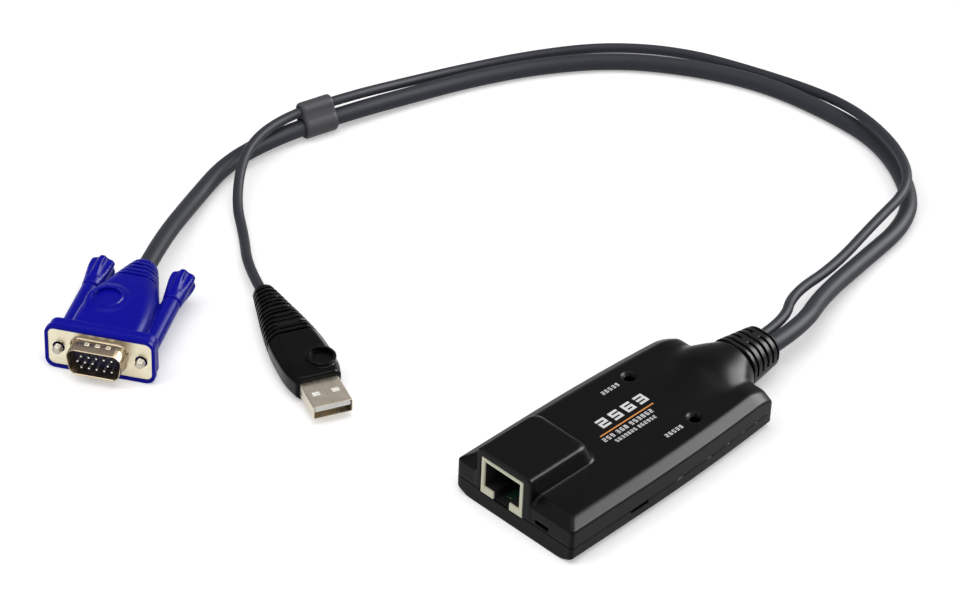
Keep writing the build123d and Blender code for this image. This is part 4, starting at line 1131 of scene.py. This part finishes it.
class AdapterStage(bpy.types.Operator):
    """Set the floor, the lamps and the camera"""

    bl_idname = "adapter.stage"
    bl_label = "Studio"

    def execute(self, context):
        scene = context.scene
        scene.view_settings.view_transform = "Standard"
        self.floor()
        self.world(scene)
        self.lamp("back_softbox", (0.43, 0.98, 0.74), (0.0, 0.0, 0.0), (1.1, 0.9), 75.0, sheen=True)
        self.lamp("top_softbox", (0.0, -0.1, 1.5), (-0.05, 0.02, 0.0), (1.5, 1.5), 15.0)
        self.lamp("front_softbox", (-0.9, -1.3, 1.5), (-0.08, 0.03, 0.0), (1.2, 1.0), 8.0)
        self.lamp("right_softbox", (1.5, -0.2, 1.1), (-0.05, 0.0, 0.0), (1.0, 1.0), 6.0)
        self.camera(scene)
        return {"FINISHED"}

    def floor(self):
        corners = [(-4000, -4000, -0.05), (4000, -4000, -0.05), (4000, 4000, -0.05), (-4000, 4000, -0.05)]
        mesh = mesh_of("floor", corners, [(0, 1, 2, 3)])
        material = bpy.data.materials.new("Floor white")
        material.use_nodes = True
        nodes, links = material.node_tree.nodes, material.node_tree.links
        shader = nodes["Principled BSDF"]
        shader.inputs["Base Color"].default_value = (0.86, 0.86, 0.86, 1.0)
        shader.inputs["Roughness"].default_value = 0.9
        shader.inputs["Specular IOR Level"].default_value = 0.0
        path = nodes.new("ShaderNodeLightPath")
        seen = math_node(nodes, "MAXIMUM")
        links.new(path.outputs["Is Camera Ray"], seen.inputs[0])
        links.new(path.outputs["Is Glossy Ray"], seen.inputs[1])
        glow = math_node(nodes, "MULTIPLY", None, 0.35)
        links.new(seen.outputs[0], glow.inputs[0])
        shader.inputs["Emission Color"].default_value = (1.0, 1.0, 1.0, 1.0)
        links.new(glow.outputs[0], shader.inputs["Emission Strength"])
        mesh.materials.append(material)
        floor = bpy.data.objects.new("floor", mesh)
        bpy.context.scene.collection.objects.link(floor)

    def world(self, scene):
        world = bpy.data.worlds.new("Studio")
        scene.world = world
        world.use_nodes = True
        nodes, links = world.node_tree.nodes, world.node_tree.links
        back = nodes["Background"]
        back.inputs["Color"].default_value = (1.0, 1.0, 1.0, 1.0)
        path = nodes.new("ShaderNodeLightPath")
        base = 0.2
        level = base
        for seen, share in (("Is Camera Ray", 1.0 - base), ("Is Glossy Ray", 0.25)):
            step = math_node(nodes, "MULTIPLY_ADD", None, share)
            links.new(path.outputs[seen], step.inputs[0])
            if level is base:
                step.inputs[2].default_value = base
            else:
                links.new(level, step.inputs[2])
            level = step.outputs[0]
        links.new(level, back.inputs["Strength"])

    def lamp(self, name, place, target, size, power, sheen=False):
        """A softbox, which with sheen only shows in reflections."""
        light = bpy.data.lights.new(name, "AREA")
        light.shape = "RECTANGLE"
        light.size, light.size_y = size
        light.energy = power
        lamp = bpy.data.objects.new(name, light)
        lamp.location = place
        lamp.rotation_euler = (Vector(target) - Vector(place)).to_track_quat("-Z", "Y").to_euler()
        lamp.visible_diffuse = not sheen
        bpy.context.scene.collection.objects.link(lamp)

    def camera(self, scene):
        azimuth, elevation, roll = radians(43.11), radians(37.33), radians(2.46)
        back = Vector((sin(azimuth) * cos(elevation), -cos(azimuth) * cos(elevation), sin(elevation)))
        right = (-back).cross(Vector((0, 0, 1))).normalized()
        up = right.cross(-back)
        across = right * cos(roll) + up * sin(roll)
        above = up * cos(roll) - right * sin(roll)
        data = bpy.data.cameras.new("camera")
        data.lens = 135.38
        data.sensor_width = 36.0
        data.sensor_fit = "HORIZONTAL"
        data.clip_start = 0.05
        camera = bpy.data.objects.new("camera", data)
        turn = Matrix((across, above, back)).transposed().to_4x4()
        camera.matrix_world = Matrix.Translation((0.50896, -0.60372, 0.65516)) @ turn
        scene.collection.objects.link(camera)
        scene.camera = camera


class ADAPTER_PT_panel(bpy.types.Panel):
    """Lists the adapter's settings and pieces"""

    bl_label = "Console Adapter"
    bl_space_type = "VIEW_3D"
    bl_region_type = "UI"
    bl_category = "Adapter"

    def draw(self, context):
        layout = self.layout
        for settings in (context.scene.adapter_sizes, context.scene.adapter_colours):
            for label in settings.bl_rna.properties.keys():
                if label not in ("rna_type", "name"):
                    layout.prop(settings, label)
        for operator in OPERATORS:
            layout.operator(operator.bl_idname)


OPERATORS = (
    AdapterFinishes, AdapterStage, AdapterCords, AdapterShells, AdapterMarks, AdapterSocket, AdapterBoot,
    AdapterScreenPlug, AdapterThumbscrews, AdapterComputerPlug, AdapterInside,
)
CLASSES = (AdapterColours, AdapterSizes, *OPERATORS, ADAPTER_PT_panel)


def register():
    for cls in CLASSES:
        bpy.utils.register_class(cls)
    bpy.types.Scene.adapter_colours = bpy.props.PointerProperty(type=AdapterColours)
    bpy.types.Scene.adapter_sizes = bpy.props.PointerProperty(type=AdapterSizes)


def unregister():
    del bpy.types.Scene.adapter_sizes
    del bpy.types.Scene.adapter_colours
    for cls in reversed(CLASSES):
        bpy.utils.unregister_class(cls)


def main():
    register()
    for operator in OPERATORS:
        group, name = operator.bl_idname.split(".")
        getattr(getattr(bpy.ops, group), name)()


if __name__ == "__main__":
    main()
